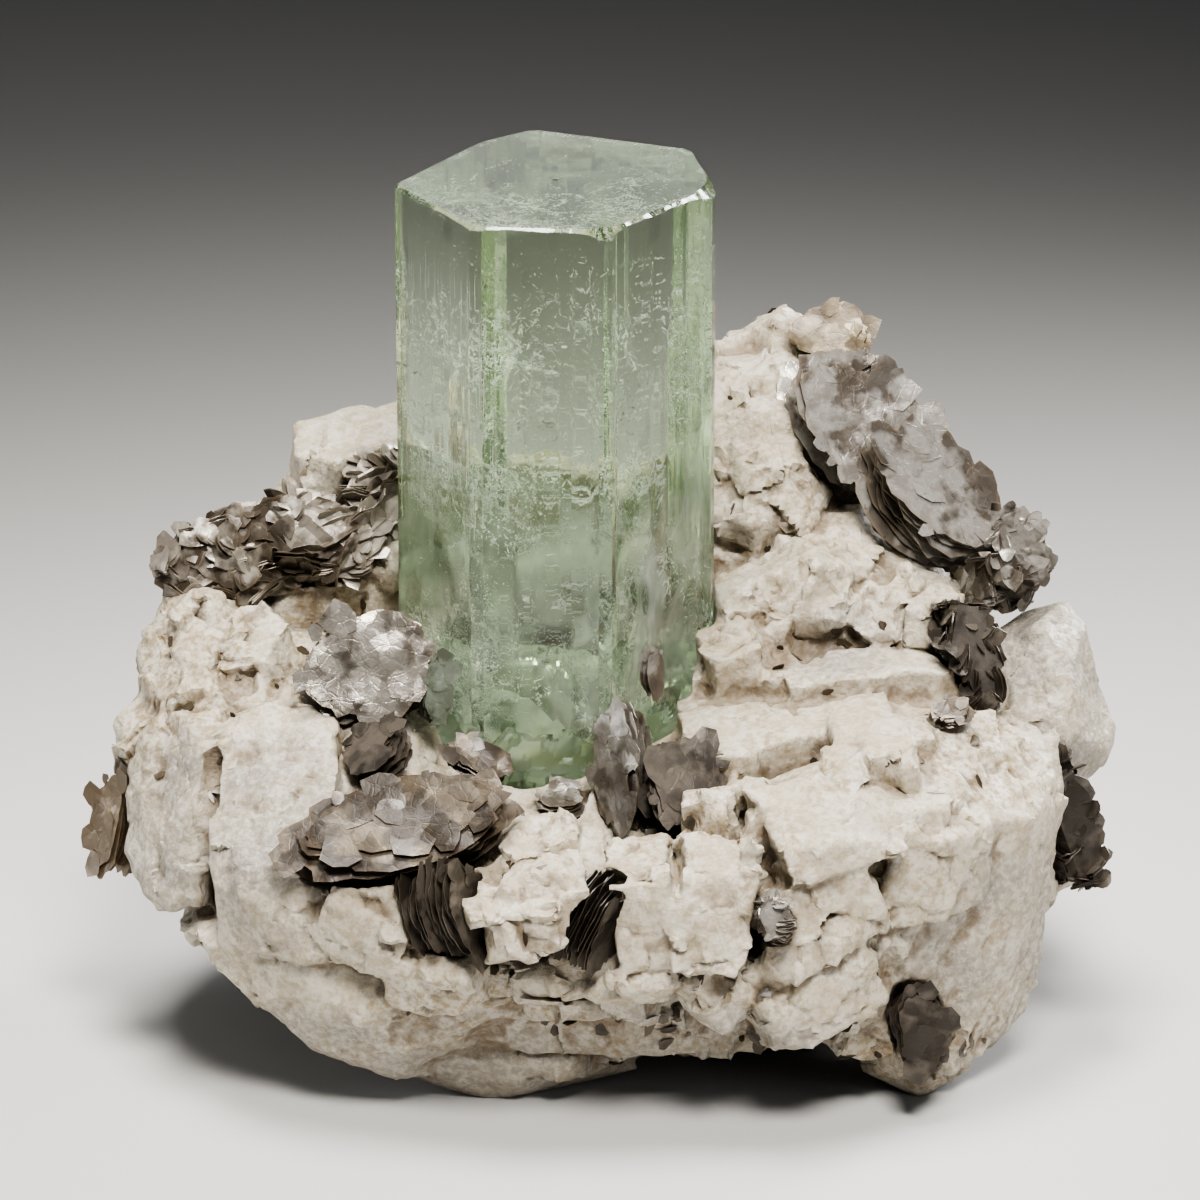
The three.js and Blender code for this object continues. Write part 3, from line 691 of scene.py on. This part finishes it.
# mica books
books = {
    "leafGap": 0.42, "leafCounts": (3, 15), "sheet": 0.16, "tornSheet": 0.07, "flakeSheet": 0.14,
    "coreShrink": 0.08, "sharpAngle": 38, "seed": 90,
    # finish, way that the leaves face, way that their long side runs
    "pieces": {
        "mica_plate_left": ("pewter", (0.1, -0.9, 0.42), (1, 0, 0.1)),
        # this book's green finish is painted light: grey mica with the crystal's green light painted on
        "mica_book_crystal_foot": ("green", (0.35, -0.9, 0.1), (0.1, 0, 1)),
        "mica_book_front_left": ("brown", (-0.1, -0.74, 0.67), (1, 0.25, -0.02)),
        "mica_leaf_front": ("brown", (0.25, -0.7, 0.66), (1, 0, -0.5)),
        "mica_lump_left": ("dark", (-0.5, -0.55, 0.66), (0.8, 0, 0.6)),
        "mica_plate_right": ("pewter", (-0.76, -0.6, 0.25), (0.36, 0.62, 0.7)),
        "mica_fan_right": ("dark", (0.3, -0.8, 0.5), (0.5, 0.3, 0.8)),
        "mica_flake_crystal": ("silver", (0.75, -0.65, 0.1), (0.1, 0, 1)),
        "mica_flake_hollow": ("silver", (0, -0.3, 0.95), (1, 0, 0)),
        "mica_blades_front_left": ("dark", (0.82, -0.5, 0.2), (-0.25, -0.2, 0.95)),
        "mica_blades_front": ("dark", (0.8, -0.55, -0.3), (0.42, 0.2, 0.88)),
        "mica_leaf_peak": ("amber", (-0.2, -0.72, 0.66), (1, 0, -0.25)),
        "mica_book_right_upper": ("silver", (0.24, -0.84, 0.46), (0.6, 0, -0.8)),
        "mica_book_right_lower": ("silver", (0.46, -0.7, 0.55), (0.55, 0, -0.83)),
        "mica_rosette_right": ("silver", (0.5, -0.68, 0.54), (0.3, 0, 1)),
        "mica_seam_right": ("dark", (0.3, -0.9, 0.3), (-0.15, 0, 1)),
        "mica_seam_low_right": ("dark", (0.6, -0.78, 0.1), (0.35, 0, -1)),
        "mica_flake_right": ("brown", (0, -0.7, 0.7), (1, 0, 0.2)),
        "mica_pocket_front": ("silver", (0.1, -0.92, 0.36), (-0.4, 0, 1)),
        "mica_foot_right": ("dark", (0.15, -0.95, 0.2), (-0.2, 0, 1)),
        "mica_edge_left": ("amber", (-0.75, -0.6, 0.2), (0.1, 0, 1)),
        "mica_book_back": ("dark", (0.35, 0.86, 0.35), (1, -0.3, 0.4)),
        "mica_cluster_left": ("grey", (0, -0.8, 0.6), (1, 0, 0)),
        "mica_cluster_back": ("grey", (0, 0.8, 0.6), (1, 0, 0)),
    },
    # made of many small flakes instead of wide leaves: count and size
    "flaky": {"mica_cluster_left": (420, 4.0), "mica_cluster_back": (260, 4.0),
              "mica_rosette_right": (120, 2.6), "mica_seam_right": (110, 3.0),
              "mica_seam_low_right": (110, 3.2), "mica_pocket_front": (50, 2.2)},
    # light tone, deep tone, share of metal, roughness, gloss
    "tones": {
        "silver": ((0.44, 0.415, 0.375), (0.09, 0.074, 0.058), 0.50, 0.27, 0.7),
        "pewter": ((0.27, 0.25, 0.215), (0.07, 0.058, 0.045), 0.50, 0.25, 0.7),
        "grey": ((0.42, 0.38, 0.32), (0.085, 0.067, 0.048), 0.40, 0.30, 0.6),
        "brown": ((0.135, 0.105, 0.07), (0.036, 0.026, 0.017), 0.30, 0.32, 0.5),
        "dark": ((0.125, 0.106, 0.086), (0.032, 0.026, 0.02), 0.25, 0.32, 0.4),
        # green: grey mica with green light from the crystal painted into its colour
        "green": ((0.22, 0.25, 0.195), (0.08, 0.09, 0.062), 0.20, 0.26, 0.5),
        "amber": ((0.25, 0.2, 0.13), (0.10, 0.072, 0.042), 0.20, 0.32, 0.4),
    },
}


def bookFrame(name):  # middle, axes with the leaves' way last, and sizes of the solid along them
    points, _ = nodeArrays(name)
    _, face, run = books["pieces"][name]
    out = unit(face)
    across = unit(np.cross(out, run))
    axes = np.stack([np.cross(across, out), across, out])
    reach = points @ axes.T
    low, high = reach.min(axis=0), reach.max(axis=0)
    return (low + high) / 2 @ axes, axes, high - low


def leaf(length, width, thick, random, rings=5, rim=30, phase=0.0, ragged=0.12):
    # a thin closed plate near six-sided, with a ragged border, lying in its own plane
    angle = np.linspace(0, 2 * math.pi, rim, endpoint=False)
    turn = (angle + phase) % (math.pi / 3) - math.pi / 6
    reach = 0.5 * (0.55 * math.cos(math.pi / 6) / np.cos(turn) + 0.45)
    torn = ragged * random.random(rim)
    reach *= 1 - torn - ragged * (0.5 + 0.5 * np.sin(angle * 3 + fullTurn * random.random()))
    share = (np.arange(1, rings + 1) / rings) ** 0.75
    x = length * np.outer(share, reach * np.cos(angle))
    y = width * np.outer(share, reach * np.sin(angle))
    half = thick / 2 * (1 - 0.6 * share ** 8)
    flat = columns(np.append(0, x), np.append(0, y), np.append(thick / 2, np.repeat(half, rim)))
    count = len(flat)
    around = np.arange(rim)
    after = (around + 1) % rim
    faces = [columns(np.zeros(rim, int), 1 + around, 1 + after)]
    for ring in range(rings - 1):
        a, b = 1 + ring * rim + around, 1 + ring * rim + after
        faces += [columns(a, a + rim, b + rim), columns(a, b + rim, b)]
    upper = np.concatenate(faces)
    edge = 1 + (rings - 1) * rim
    a, b = edge + around, edge + after
    wall = [columns(a, a + count, b + count), columns(a, b + count, b)]
    rimShare = np.append(0, np.repeat(share, rim))
    return (np.concatenate([flat, flat * (1, 1, -1)]), np.concatenate([upper, upper[:, ::-1] + count, *wall]),
            np.concatenate([rimShare, rimShare]))


def makeBook(name, order):
    random = np.random.default_rng(books["seed"] + order)
    middle, axes, (length, width, thick) = bookFrame(name)
    count = int(np.clip(round(thick / books["leafGap"]), *books["leafCounts"]))
    curl = random.uniform(-0.5, 0.5) * thick / 4
    bend = random.uniform(0, 100)
    pile = []

    def rumple(points):
        flat = raised(points, bend)
        return 0.32 * noise(flat, 6, 5) + 0.15 * noise(flat, 2.6, 6) + 0.12 * (ridges(flat, 3.4, 2, 8) - 0.5)

    def bowed(points, level):  # level is -0.5 at the inmost leaf, 0.5 at the outer one
        far = (2 * points[:, 0] / length) ** 2 + (2 * points[:, 1] / width) ** 2
        return level * (thick - 0.5) * (1 + 0.10 * far) - curl * far * 0.4

    for k in range(count):
        scale = random.uniform(0.80, 1.0)
        sheet = books["sheet"] * random.uniform(0.8, 1.6)
        points, faces, rims = leaf(length * scale, width * scale, sheet, random, rim=36,
                                   phase=random.uniform(-0.25, 0.25))
        points[:, 0] += length * random.uniform(-0.07, 0.07)
        points[:, 1] += width * random.uniform(-0.07, 0.07)
        points[:, 2] += bowed(points, k / (count - 1) - 0.5)
        points[:, 2] += rumple(points) * random.uniform(0.7, 1.1)
        points[:, 2] += points[:, 0] * 0.012 * random.standard_normal()
        pile.append((points @ axes + middle, faces, rims, random.random()))
    # torn flakes left on the outer leaf and round the border
    for k in range(int(10 + 0.06 * length * width)):
        size = random.uniform(1.2, 6.0) * min(1, width / 9)
        points, faces, rims = leaf(size * random.uniform(0.8, 1.5), size, books["tornSheet"], random, rings=1,
                                   rim=8, ragged=0.22, phase=fullTurn * random.random())
        turn = fullTurn * random.random()
        lean = 0.035 * random.standard_normal(2)
        x = points[:, 0] * math.cos(turn) - points[:, 1] * math.sin(turn)
        y = points[:, 0] * math.sin(turn) + points[:, 1] * math.cos(turn)
        far, way = 0.47 * math.sqrt(random.random()), fullTurn * random.random()
        points[:, 2] += x * lean[0] + y * lean[1]
        points[:, 0], points[:, 1] = x + length * far * math.cos(way), y + width * far * math.sin(way)
        outer = 1 if random.random() < 0.72 else random.uniform(-0.8, 0.8)
        points[:, 2] += bowed(points, outer / 2) + 0.12
        points[:, 2] += rumple(points)
        pile.append((points @ axes + middle, faces, rims, random.random()))
    return pile


def makeFlakes(name, order, count, size):
    random = np.random.default_rng(books["seed"] + order)
    core, tris = nodeArrays(name)
    places, normals = scatterOn(core, tris, count, random)
    # near ones lie alike, as leaves of one small book
    ways = 2 * hashes(np.floor(places / (1.9 * size)), 110) - 1
    frames = looseFrames(0.7 * normals + 0.9 * ways, 0.22, random)
    pile = [(core + books["coreShrink"] * (core.mean(axis=0) - core), tris, np.zeros(len(core)), 1.0)]
    # painted light: flakes higher up are given a paler tone, as if lit from above
    paintedTopLight = ramp(0.45, 0.9, (places[:, 2] - places[:, 2].min()) / np.ptp(places[:, 2]))
    for place, normal, axes, pale in zip(places, normals, frames, paintedTopLight):
        wide = size * random.uniform(0.45, 1.15)
        points, faces, rims = leaf(wide * random.uniform(1, 1.6), wide, books["flakeSheet"], random, rings=2,
                                   rim=10, ragged=0.2, phase=random.random())
        rumple = 0.16 * size / 3 * noise(raised(points, 50 * random.random()), 1.8, 4)
        points[:, 2] += rumple + random.uniform(-0.03, 0.03) * points[:, 0] ** 2
        for layer in range(random.integers(1, 4)):
            moved = points + np.array([0.12, 0.08, 0.22]) * layer * random.uniform(-1, 1, 3)
            moved = moved @ axes + place - normal * random.uniform(0.2, 0.7)
            pile.append((moved, faces, rims, 1.2 * random.random() - 0.9 * pale))
    return pile


def makeLeafPiece(name, pile, finish, *nodes):
    points, faces, rims, tones = zip(*pile)
    piece = makeObject(name, *merged(zip(points, faces)))
    tones = np.repeat(tones, [len(shell) for shell in points])
    paint(piece.data, "leafTone", (tones, np.concatenate(rims)))
    dress(piece, micaFinishes[finish], "mica", *nodes)
    return piece


def micaFinish(name):
    light, deep, metal, rough, gloss = books["tones"][name]
    finish = startFinish(name + " mica")
    tone, rim, _ = masks("leafTone")
    folds = vectors("ADD", here(), vectors("SCALE", speckle(2.2, 1), 0.0016, 3))
    cracks = {"Vector": folds, "Scale": 1 / (1.7 * mm)}
    crease = Wire.make("TexVoronoi", {"feature": "DISTANCE_TO_EDGE"}, cracks).between(0.0, 0.07)
    mottle = speckle(2.2, 4, 0.6)
    patch = speckle(6.5, 3)
    deepness = 0.35 * tone + 0.5 * mottle.between(0.42, 0.62) + 0.8 * patch.between(0.47, 0.58)
    deepness = deepness - 0.06 * (1 - crease)
    colour = blend(deepness.math("MAXIMUM", 0.0), light, deep)
    rimTone = [0.5 * (d + l * c) for d, l, c in zip(deep, light, (1, 0.8, 0.55))]
    colour = blend(rim.between(0.9, 1.0) * 0.35, colour, rimTone)
    height = 0.9 * facets(1.5) + 0.04 * crease + 0.4 * mottle
    return endFinish(finish, {
        "Base Color": colour,
        "Metallic": metal * (0.55 + 0.6 * mottle.between(0.6, 0.35)),
        "Roughness": rough * (0.75 + 0.7 * mottle),
        "Specular IOR Level": gloss,
        "Coat Weight": 0.35 * gloss,
        "Coat Roughness": 0.12,
        "Normal": bump(height, 0.20, 0.9),
    })


micaFinishes = {name: micaFinish(name) for name in books["tones"]}
for order, name in enumerate(sorted(micaNodes)):
    if name in books["flaky"]:
        pile = makeFlakes(name, order, *books["flaky"][name])
    else:
        pile = makeBook(name, order)
    piece = makeLeafPiece(name.replace("mica", "leaves", 1), pile, books["pieces"][name][0], name)
    smoothShade(piece.data, books["sharpAngle"])
print("mica made:", len(micaNodes), "books")

# crumbs of mica in the hollows of the rock and under its front
crumbs = {"count": 520, "sizes": (0.7, 2.4), "sheet": 0.12, "lift": 0.15, "seed": 44,
          "shadow": ((14, -31, 8), (19, 10, 7))}


def makeCrumbs():
    random = np.random.default_rng(crumbs["seed"])
    mesh = rockPiece.data
    points, normals = meshPoints(mesh), fromMesh(mesh, "normal")
    tones = np.empty(len(points) * 4)
    mesh.attributes["rockTone"].data.foreach_get("color", tones)
    shadow = 0.9 * blob(points, *crumbs["shadow"]) * ramp(-0.2, 0.4, noise(points, 5, 45))
    weight = ramp(0.35, 0.9, tones[::4]) ** 2 + shadow
    weight *= (outsideCrystal(points) > 1.0) & (points[:, 2] > 1.5)
    count = crumbs["count"]
    picked = random.choice(len(points), count, replace=False, p=weight / weight.sum())
    frames = looseFrames(normals[picked], 0.45, random)
    pile = []
    for place, normal, axes in zip(points[picked], normals[picked], frames):
        wide = random.uniform(*crumbs["sizes"])
        flake, faces, rims = leaf(wide * random.uniform(1, 1.5), wide, crumbs["sheet"], random, rings=1, rim=8,
                                  ragged=0.22)
        pile.append((flake @ axes + place + crumbs["lift"] * normal, faces, rims, random.random()))
    makeLeafPiece("mica_crumbs", pile, "brown")
    print("crumbs made:", count)


makeCrumbs()


# crystal
def sidePoints():  # points round the prism with their outward way, number of the side and place along it
    places, ways, sides, runs = [], [], [], []
    for i, start in enumerate(outline):
        length = np.linalg.norm(sideWays[i])
        count = max(2, round(length / crystal["spacing"]))
        for k in range(count):
            places.append(start + sideWays[i] * k / count)
            before = sideNormals[i - 1] if k == 0 else sideNormals[i]
            ways.append(unit(before + sideNormals[i]))
            sides.append(i)
            runs.append(length * k / count)
    return np.array(places), np.array(ways), np.array(sides), np.array(runs)


def bevelWidth(places):  # rough in front, calm behind, and wider at some corners
    edge = raised(places, 9.0)
    front = 1 - 0.8 * ramp(-2, 8, places[:, 1])
    wide = crystal["bevel"] + front * (0.12 * noise(edge, 2.4, 21) + 0.10 * noise(edge, 0.9, 22))
    for place, reach, more in crystal["chips"]:
        wide += more * np.exp(-((places - place) ** 2).sum(axis=1) / reach ** 2)
    return np.maximum(wide, 0.2)


def growthSteps(ring, sides, runs, random):  # shallow steps that run up the sides
    foot, top = crystal["foot"], crystal["top"]
    steps = np.zeros(len(ring))
    z = ring[:, 2]
    rows = crystal["rows"]
    run = np.tile(runs, rows)
    for side in range(len(outline)):
        length = np.linalg.norm(sideWays[side])
        if length < 2.5:
            continue
        mine = np.tile(sides == side, rows)
        for k in range(int(length * 0.9)):
            at, wide = random.uniform(0.4, length - 0.4), random.uniform(*crystal["stepWidths"])
            low, high = sorted(random.uniform(foot - 15, top + 15, 2))
            end = at + wide
            inStep = mine * ramp(at - 0.25, at + 0.05, run) * (1 - ramp(end - 0.05, end + 0.25, run))
            deep = random.uniform(*crystal["stepDepths"])
            steps -= deep * inStep * ramp(low, low + 3, z) * (1 - ramp(high - 3, high, z))
    return steps * np.tile(ramp(0, 0.9, runs), rows)


def makeCrystal():
    random = np.random.default_rng(crystal["seed"])
    places, ways, sides, runs = sidePoints()
    around = len(places)
    top, foot = crystal["top"], crystal["foot"]
    heights = foot + (top - 1.0 - foot) * np.linspace(0, 1, crystal["rows"])
    ring = np.concatenate([np.repeat(places[None], len(heights), 0),
                           np.repeat(heights[:, None, None], around, 1)], axis=2).reshape(-1, 3)
    out = np.repeat(ways[None], len(heights), 0).reshape(-1, 2)
    z = ring[:, 2]
    steps = growthSteps(ring, sides, runs, random)
    flat = raised(ring, z * 0.25)
    steps += 0.03 * noise(flat, 5, 3)
    # the foot is broken off in steps
    uneven = 2.6 * noise(ring * (1, 1, 0.3), 6, 11) + 1.2 * noise(ring, 2.2, 12)
    _, _, away, own = grains(ring, 3.0, 13)
    broken = ramp(0, 0.7, crystal["footTop"] + uneven - z)
    steps -= broken * (0.9 + 0.30 * tiltOf(away, own, 3) + 0.14 * layeredNoise(ring, 1.6, 3, 14))
    steps -= 1.1 * ramp(0, 0.8, crystal["footNeck"] + 0.8 * uneven - z) + 0.16 * np.maximum(0, 32 - z)
    ring[:, :2] += out * steps[:, None]
    frost = 0.9 * broken + 0.12 * ramp(0.3, 0.8, ridges(flat, 4, 2, 17))

    # chipped bevel round the top
    wide = bevelWidth(places)
    upper = (crystal["rows"] - 1) * around
    ring[upper:, 2] = top - wide * crystal["bevelSlope"]
    below = slice(upper - around, upper)
    ring[below, 2] = np.minimum(ring[below, 2], top - wide * crystal["bevelSlope"] - 0.3)
    inner = places - ways * wide[:, None]
    frost[upper:] = 0.3 + 0.4 * ramp(-0.2, 0.5, noise(ring[upper:], 1.6, 28))

    rings, frosts = [ring], [frost]
    for share in np.linspace(1, 0, crystal["topRings"], endpoint=False):
        rings.append(raised(crystalMiddle + (inner - crystalMiddle) * share, top))
        frosts.append(np.zeros(around))
    low = ring[:around, :2]
    for share in np.linspace(1, 0, crystal["footRings"], endpoint=False)[1:]:  # underside
        points = raised(crystalMiddle + (low - crystalMiddle) * share, foot)
        points[:, 2] += 0.8 * noise(points, 3, 18) * (1 - share)
        rings.insert(0, points)
        frosts.insert(0, np.ones(around))
    points, frost = np.concatenate(rings), np.concatenate(frosts)

    # worn patch and brown stain on the top face, gold stain over the foot
    lid = np.arange(len(points)) >= len(points) - crystal["topRings"] * around
    worn = blob(points, (-14, -4, top), (7, 6, 9))
    worn = worn * ramp(0.35, 0.65, 0.5 + 0.6 * layeredNoise(points, 4, 3, 23))
    points[:, 2] -= lid * (0.012 * (1 + noise(points, 9, 27)))
    frost = np.where(lid, 0.3 * worn + 0.05, frost)
    brown = lid * blob(points, (-4.8, 11.5, top), (2.2, 1.4, 9)) * ramp(-0.2, 0.5, noise(points, 1.3, 29))
    gold = blob(points, (-4, -18, 36.5), (9, 7, 3)) * ramp(-0.4, 0.4, noise(points, 3, 30))

    total = len(points) // around
    index = np.arange(around)
    after = (index + 1) % around
    faces = []
    for row in range(total - 1):
        a, b = row * around + index, row * around + after
        faces += [columns(a, b, b + around), columns(a, b + around, a + around)]
    ends = np.array([[*crystalMiddle, foot], [*crystalMiddle, top - 0.1]])
    last = (total - 1) * around
    faces.append(columns(np.full(around, len(points)), after, index))
    faces.append(columns(np.full(around, len(points) + 1), last + index, last + after))
    piece = makeObject("beryl_prism", np.concatenate([points, ends]), np.concatenate(faces))
    paint(piece.data, "frost", [np.concatenate([mask, tips]) for mask, tips in
                                ((frost, [1, 0.1]), (brown, [0, 0]), (gold, [0, 0]))])
    smoothShade(piece.data, 20)
    dress(piece, crystalFinish(), "aquamarine", "aquamarine_crystal")
    print("crystal made:", len(piece.data.polygons), "triangles")


def crystalFinish():
    finish = startFinish("pale green beryl")
    frost, brown, gold = masks("frost")
    tint = blend(brown * 0.8, crystal["tint"], crystal["stainTint"])
    tint = blend(gold * 0.7, tint, crystal["goldTint"])
    colour = (*crystal["absorb"], 1)
    absorb = Wire.make("VolumeAbsorption", None, {"Color": colour, "Density": crystal["density"]})
    return endFinish(finish, {
        "Base Color": tint,
        "Roughness": crystal["polish"] + crystal["frostRoughness"] * frost,
        "IOR": crystal["ior"],
        "Transmission Weight": 1.0,
    }, absorb)


makeCrystal()

# what grew inside the crystal: veils of tiny flat bubbles, and clouds in its lower half
inside = {
    "floor": 31, "seed": 77,
    "veils": 50, "perVeil": 680, "veilReach": (5, 13), "veilHeights": [(58, 84), (34, 62)],
    "bubbleSizes": (0.06, 0.21), "specks": 4200, "speckSizes": (0.04, 0.13),
    "cornerSpecks": 5600, "corner": (-14.2, -11.2, 44), "cornerSpread": (2.2, 2.0, 5.5),
    "tubes": 170, "rimBruises": 2600, "lidBruises": 5200, "bruiseSizes": (0.05, 0.17),
    "crackMiddle": (-3.5, 15.2), "crackWay": (0.52, 0.85),
    "mists": 4, "milk": 0.62,
    "veilTone": (0.92, 0.96, 0.92), "mistTone": (0.87, 0.94, 0.84), "milkTone": (0.94, 0.96, 0.93),
}


def keepInside(points, margin):
    deep = outsideCrystal(points) < -margin
    return deep & (points[:, 2] < crystal["top"] - 1.2) & (points[:, 2] > inside["floor"])


def flatBubbles(middles, frames, halves):
    corners = np.array([[1, 0, -0.5], [-0.5, 0.87, -0.5], [-0.5, -0.87, -0.5], [0, 0, 1]])
    faces = [[0, 2, 1], [0, 1, 3], [1, 2, 3], [2, 0, 3]]
    return copies(corners[None] * halves[:, None, :], faces, middles, frames)


def alongCrack(points):  # distance from the crack on the top face, and place along it
    run = inside["crackWay"]
    gap = points[:, :2] - inside["crackMiddle"]
    return gap @ unit((-run[1], run[0])) + 0.7 * noise(points, 5, 25), gap @ unit(run)


def makeVeils():
    random = np.random.default_rng(inside["seed"])
    shells = []

    def overPlan(count):
        box = zip(outline.min(axis=0), outline.max(axis=0))
        return [random.uniform(low, high, count) for low, high in box]

    def addBubbles(points, ways, halves):
        frames = framesAbout(ways, fullTurn * random.random(len(points)))
        shells.append(flatBubbles(points, frames, halves))

    for k in range(inside["veils"]):
        reach = random.uniform(*inside["veilReach"])
        z = random.uniform(*inside["veilHeights"][0 if random.random() < 0.42 else 1])
        middle = np.array([*(crystalMiddle + random.uniform(-11, 11, 2)), z])
        out = unit([random.normal(), random.normal(), 0.75 * random.normal()])
        axes = framesAbout(out[None], np.array([fullTurn * random.random()]))[0]
        count = inside["perVeil"] * 14
        far, way = reach * np.sqrt(random.random(count)), fullTurn * random.random(count)
        u, v = far * np.cos(way), far * np.sin(way) * 0.7
        flat = columns(u, v, np.full(count, 40.0 * k))
        w = 1.5 * noise(flat, 7, 2) + 0.05 * (u * u + v * v) * random.uniform(-0.5, 0.5)
        threads = np.minimum(np.abs(noise(flat, 3.2, 3)), np.abs(noise(flat, 1.7, 4)) * 1.6)
        wisp = ramp(0.09, 0.0, threads) * ramp(-0.25, 0.4, noise(flat, 6, 5))
        wisp = wisp * (1 - ramp(0.6, 1.0, far / reach))
        points = middle + columns(u, v, w) @ axes
        keep = (random.random(count) < wisp + 0.006) & keepInside(points, 0.5)
        points = points[keep][: inside["perVeil"]]
        count = len(points)
        if not count:
            continue
        ways = unit(out + 0.35 * random.standard_normal((count, 3)))
        size = random.uniform(*inside["bubbleSizes"], (count, 1))
        halves = size * (1, 0.7, 0.22) * random.uniform(0.6, 1.4, (count, 3))
        halves[:, 0] *= random.choice([1, 1, 1, 3.2], count)
        addBubbles(points, ways, halves)

    # loose specks, thicker towards the foot and in the pale corner on the lower left; the corner's dense white
    # is partly painted light, standing in for a bright patch of light that falls there
    count = inside["specks"]
    points = columns(*overPlan(count), inside["floor"] + 61 * random.random(count) ** 1.5)
    corner = random.standard_normal((inside["cornerSpecks"], 3)) * inside["cornerSpread"] + inside["corner"]
    points = np.concatenate([points, corner])
    points = points[keepInside(points, 0.4)]
    count = len(points)
    halves = random.uniform(*inside["speckSizes"], (count, 1)) * (1, 0.7, 0.3)
    addBubbles(points, unit(random.standard_normal((count, 3))), halves)

    # fine upright tubes behind the left face
    count = inside["tubes"]
    tubes = outline[1] + (outline[2] - outline[1]) * random.random((count, 1))
    tubes = tubes + (0.87, 0.5) * random.uniform(0.5, 3.5, (count, 1))
    tubes = raised(tubes, random.uniform(60, 86, count))
    halves = columns(random.uniform(0.8, 4.5, count), random.uniform(0.03, 0.07, count), np.full(count, 0.03))
    upright = np.repeat(np.array([[[0, 0, 1.0], [1.0, 0, 0], [0, 1.0, 0]]]), count, 0)
    kept = keepInside(tubes + (0, 0, 5.0), 0.3)
    shells.append(flatBubbles(tubes[kept], upright[kept], halves[kept]))

    # bruised rim, worn patches and the crack of the top face, just under the surface
    places, ways, _, _ = sidePoints()
    count = inside["rimBruises"]
    picked = random.integers(0, len(places), count)
    deep = 0.3 + 0.9 * random.random((count, 1))
    under = np.maximum(bevelWidth(places[picked])[:, None] * 1.05 + 0.35 - deep, 0.3)
    rim = raised(places[picked] - ways[picked] * deep, crystal["top"] - under[:, 0])
    rim = rim[noise(rim, 2.2, 33) + 0.6 * (rim[:, 1] < -2) > 0.1]
    count = inside["lidBruises"]
    lid = columns(*overPlan(count), np.full(count, crystal["top"] - 0.55))
    streak = columns(lid[:, 0] * 0.5 + lid[:, 1] * 0.2, lid[:, 1] - 0.35 * lid[:, 0], lid[:, 2])
    worn = blob(lid, (-13.5, -5, 93), (8, 7, 9)) + 0.35 * blob(lid, (-1, 4, 93), (9, 6, 9))
    line, span = alongCrack(lid)
    worn += 2 * (np.abs(line) < 0.2) * (np.abs(span) < 6.5)
    lid = lid[worn * ramp(0.1, 0.6, ridges(streak, 2.6, 2, 34) - 0.25) > random.random(count) * 0.8]
    lid[:, 2] -= 0.25 * random.random(len(lid))
    bruise = np.concatenate([rim, lid])
    bruise = bruise[outsideCrystal(bruise) < -0.2]
    count = len(bruise)
    halves = random.uniform(*inside["bruiseSizes"], (count, 1)) * (1.4, 0.6, 0.2)
    addBubbles(bruise, unit((0, 0, 1.0) + 0.5 * random.standard_normal((count, 3))), halves)
    piece = makeObject("crystal_veils", *merged(shells))
    dress(piece, veilFinish(), "aquamarine")
    print("veils made:", len(piece.data.polygons), "triangles")


def makeMist():
    random = np.random.default_rng(inside["seed"] + 1)
    shells, shares = [], []
    for k in range(inside["mists"]):
        turn = 2 * math.pi * (k * 0.618 % 1)
        out = unit([math.sin(turn), -math.cos(turn), 0.15 * random.standard_normal()])
        middle = np.array([*(crystalMiddle + out[:2] * random.uniform(0, 12)), random.uniform(44, 54)])
        if k < 2:  # two lie flat over the broken foot
            out = unit([0.1, -0.2, 1.0])
            middle = np.array([*crystalMiddle, 33.5 + 4 * k])
        axes = framesAbout(out[None], np.zeros(1))[0]
        sizes = random.uniform(34, 44), random.uniform(36, 46)
        points, faces, rim = leaf(*sizes, 0.25, random, rings=15, rim=60)
        flat = raised(points, 30.0 * k)
        points[:, 2] += 2.2 * noise(flat, 9, 7)
        points = points @ axes + middle
        # pulled in where it would leave the crystal
        over = np.maximum(0, outsideCrystal(points) + 0.7)
        inward = crystalMiddle - points[:, :2]
        length = np.maximum(np.linalg.norm(inward, axis=1), 0.1)
        points[:, :2] += inward / length[:, None] * np.minimum(over * 1.25, 0.98 * length)[:, None]
        points[:, 2] = np.clip(points[:, 2], inside["floor"] + rim * 0.5, 88)
        cloud = ramp(-0.5, 0.3, layeredNoise(points, 9, 3, 60))
        cloud = cloud * (0.6 + 0.4 * ramp(0.5, 0.85, ridges(flat, 3.4, 3, 61)))
        shells.append((points, faces))
        shares.append(cloud * (1 - ramp(0.85, 1, rim)) * (1 - ramp(48, 84, points[:, 2])))
    piece = makeObject("crystal_clouds", *merged(shells))
    paint(piece.data, "cloud", (np.concatenate(shares) * inside["milk"],))
    smoothShade(piece.data)
    dress(piece, mistFinish(), "aquamarine")
    print("clouds made:", len(piece.data.polygons), "triangles")


def veilFinish():
    finish = startFinish("white veils")
    deep = [0.82 * c for c in inside["veilTone"]]
    colour = blend(speckle(2.0).between(0.35, 0.65), inside["veilTone"], deep)
    return endFinish(finish, {"Base Color": colour, "Roughness": 0.35, "Specular IOR Level": 0.6})


def mistFinish():
    finish = startFinish("milky clouds")
    milk, _, _ = masks("cloud")
    colour = blend(milk, inside["mistTone"], inside["milkTone"])
    return endFinish(finish, {"Base Color": colour, "Alpha": milk, "Roughness": 0.8,
                              "Specular IOR Level": 0.1})


makeVeils()
makeMist()
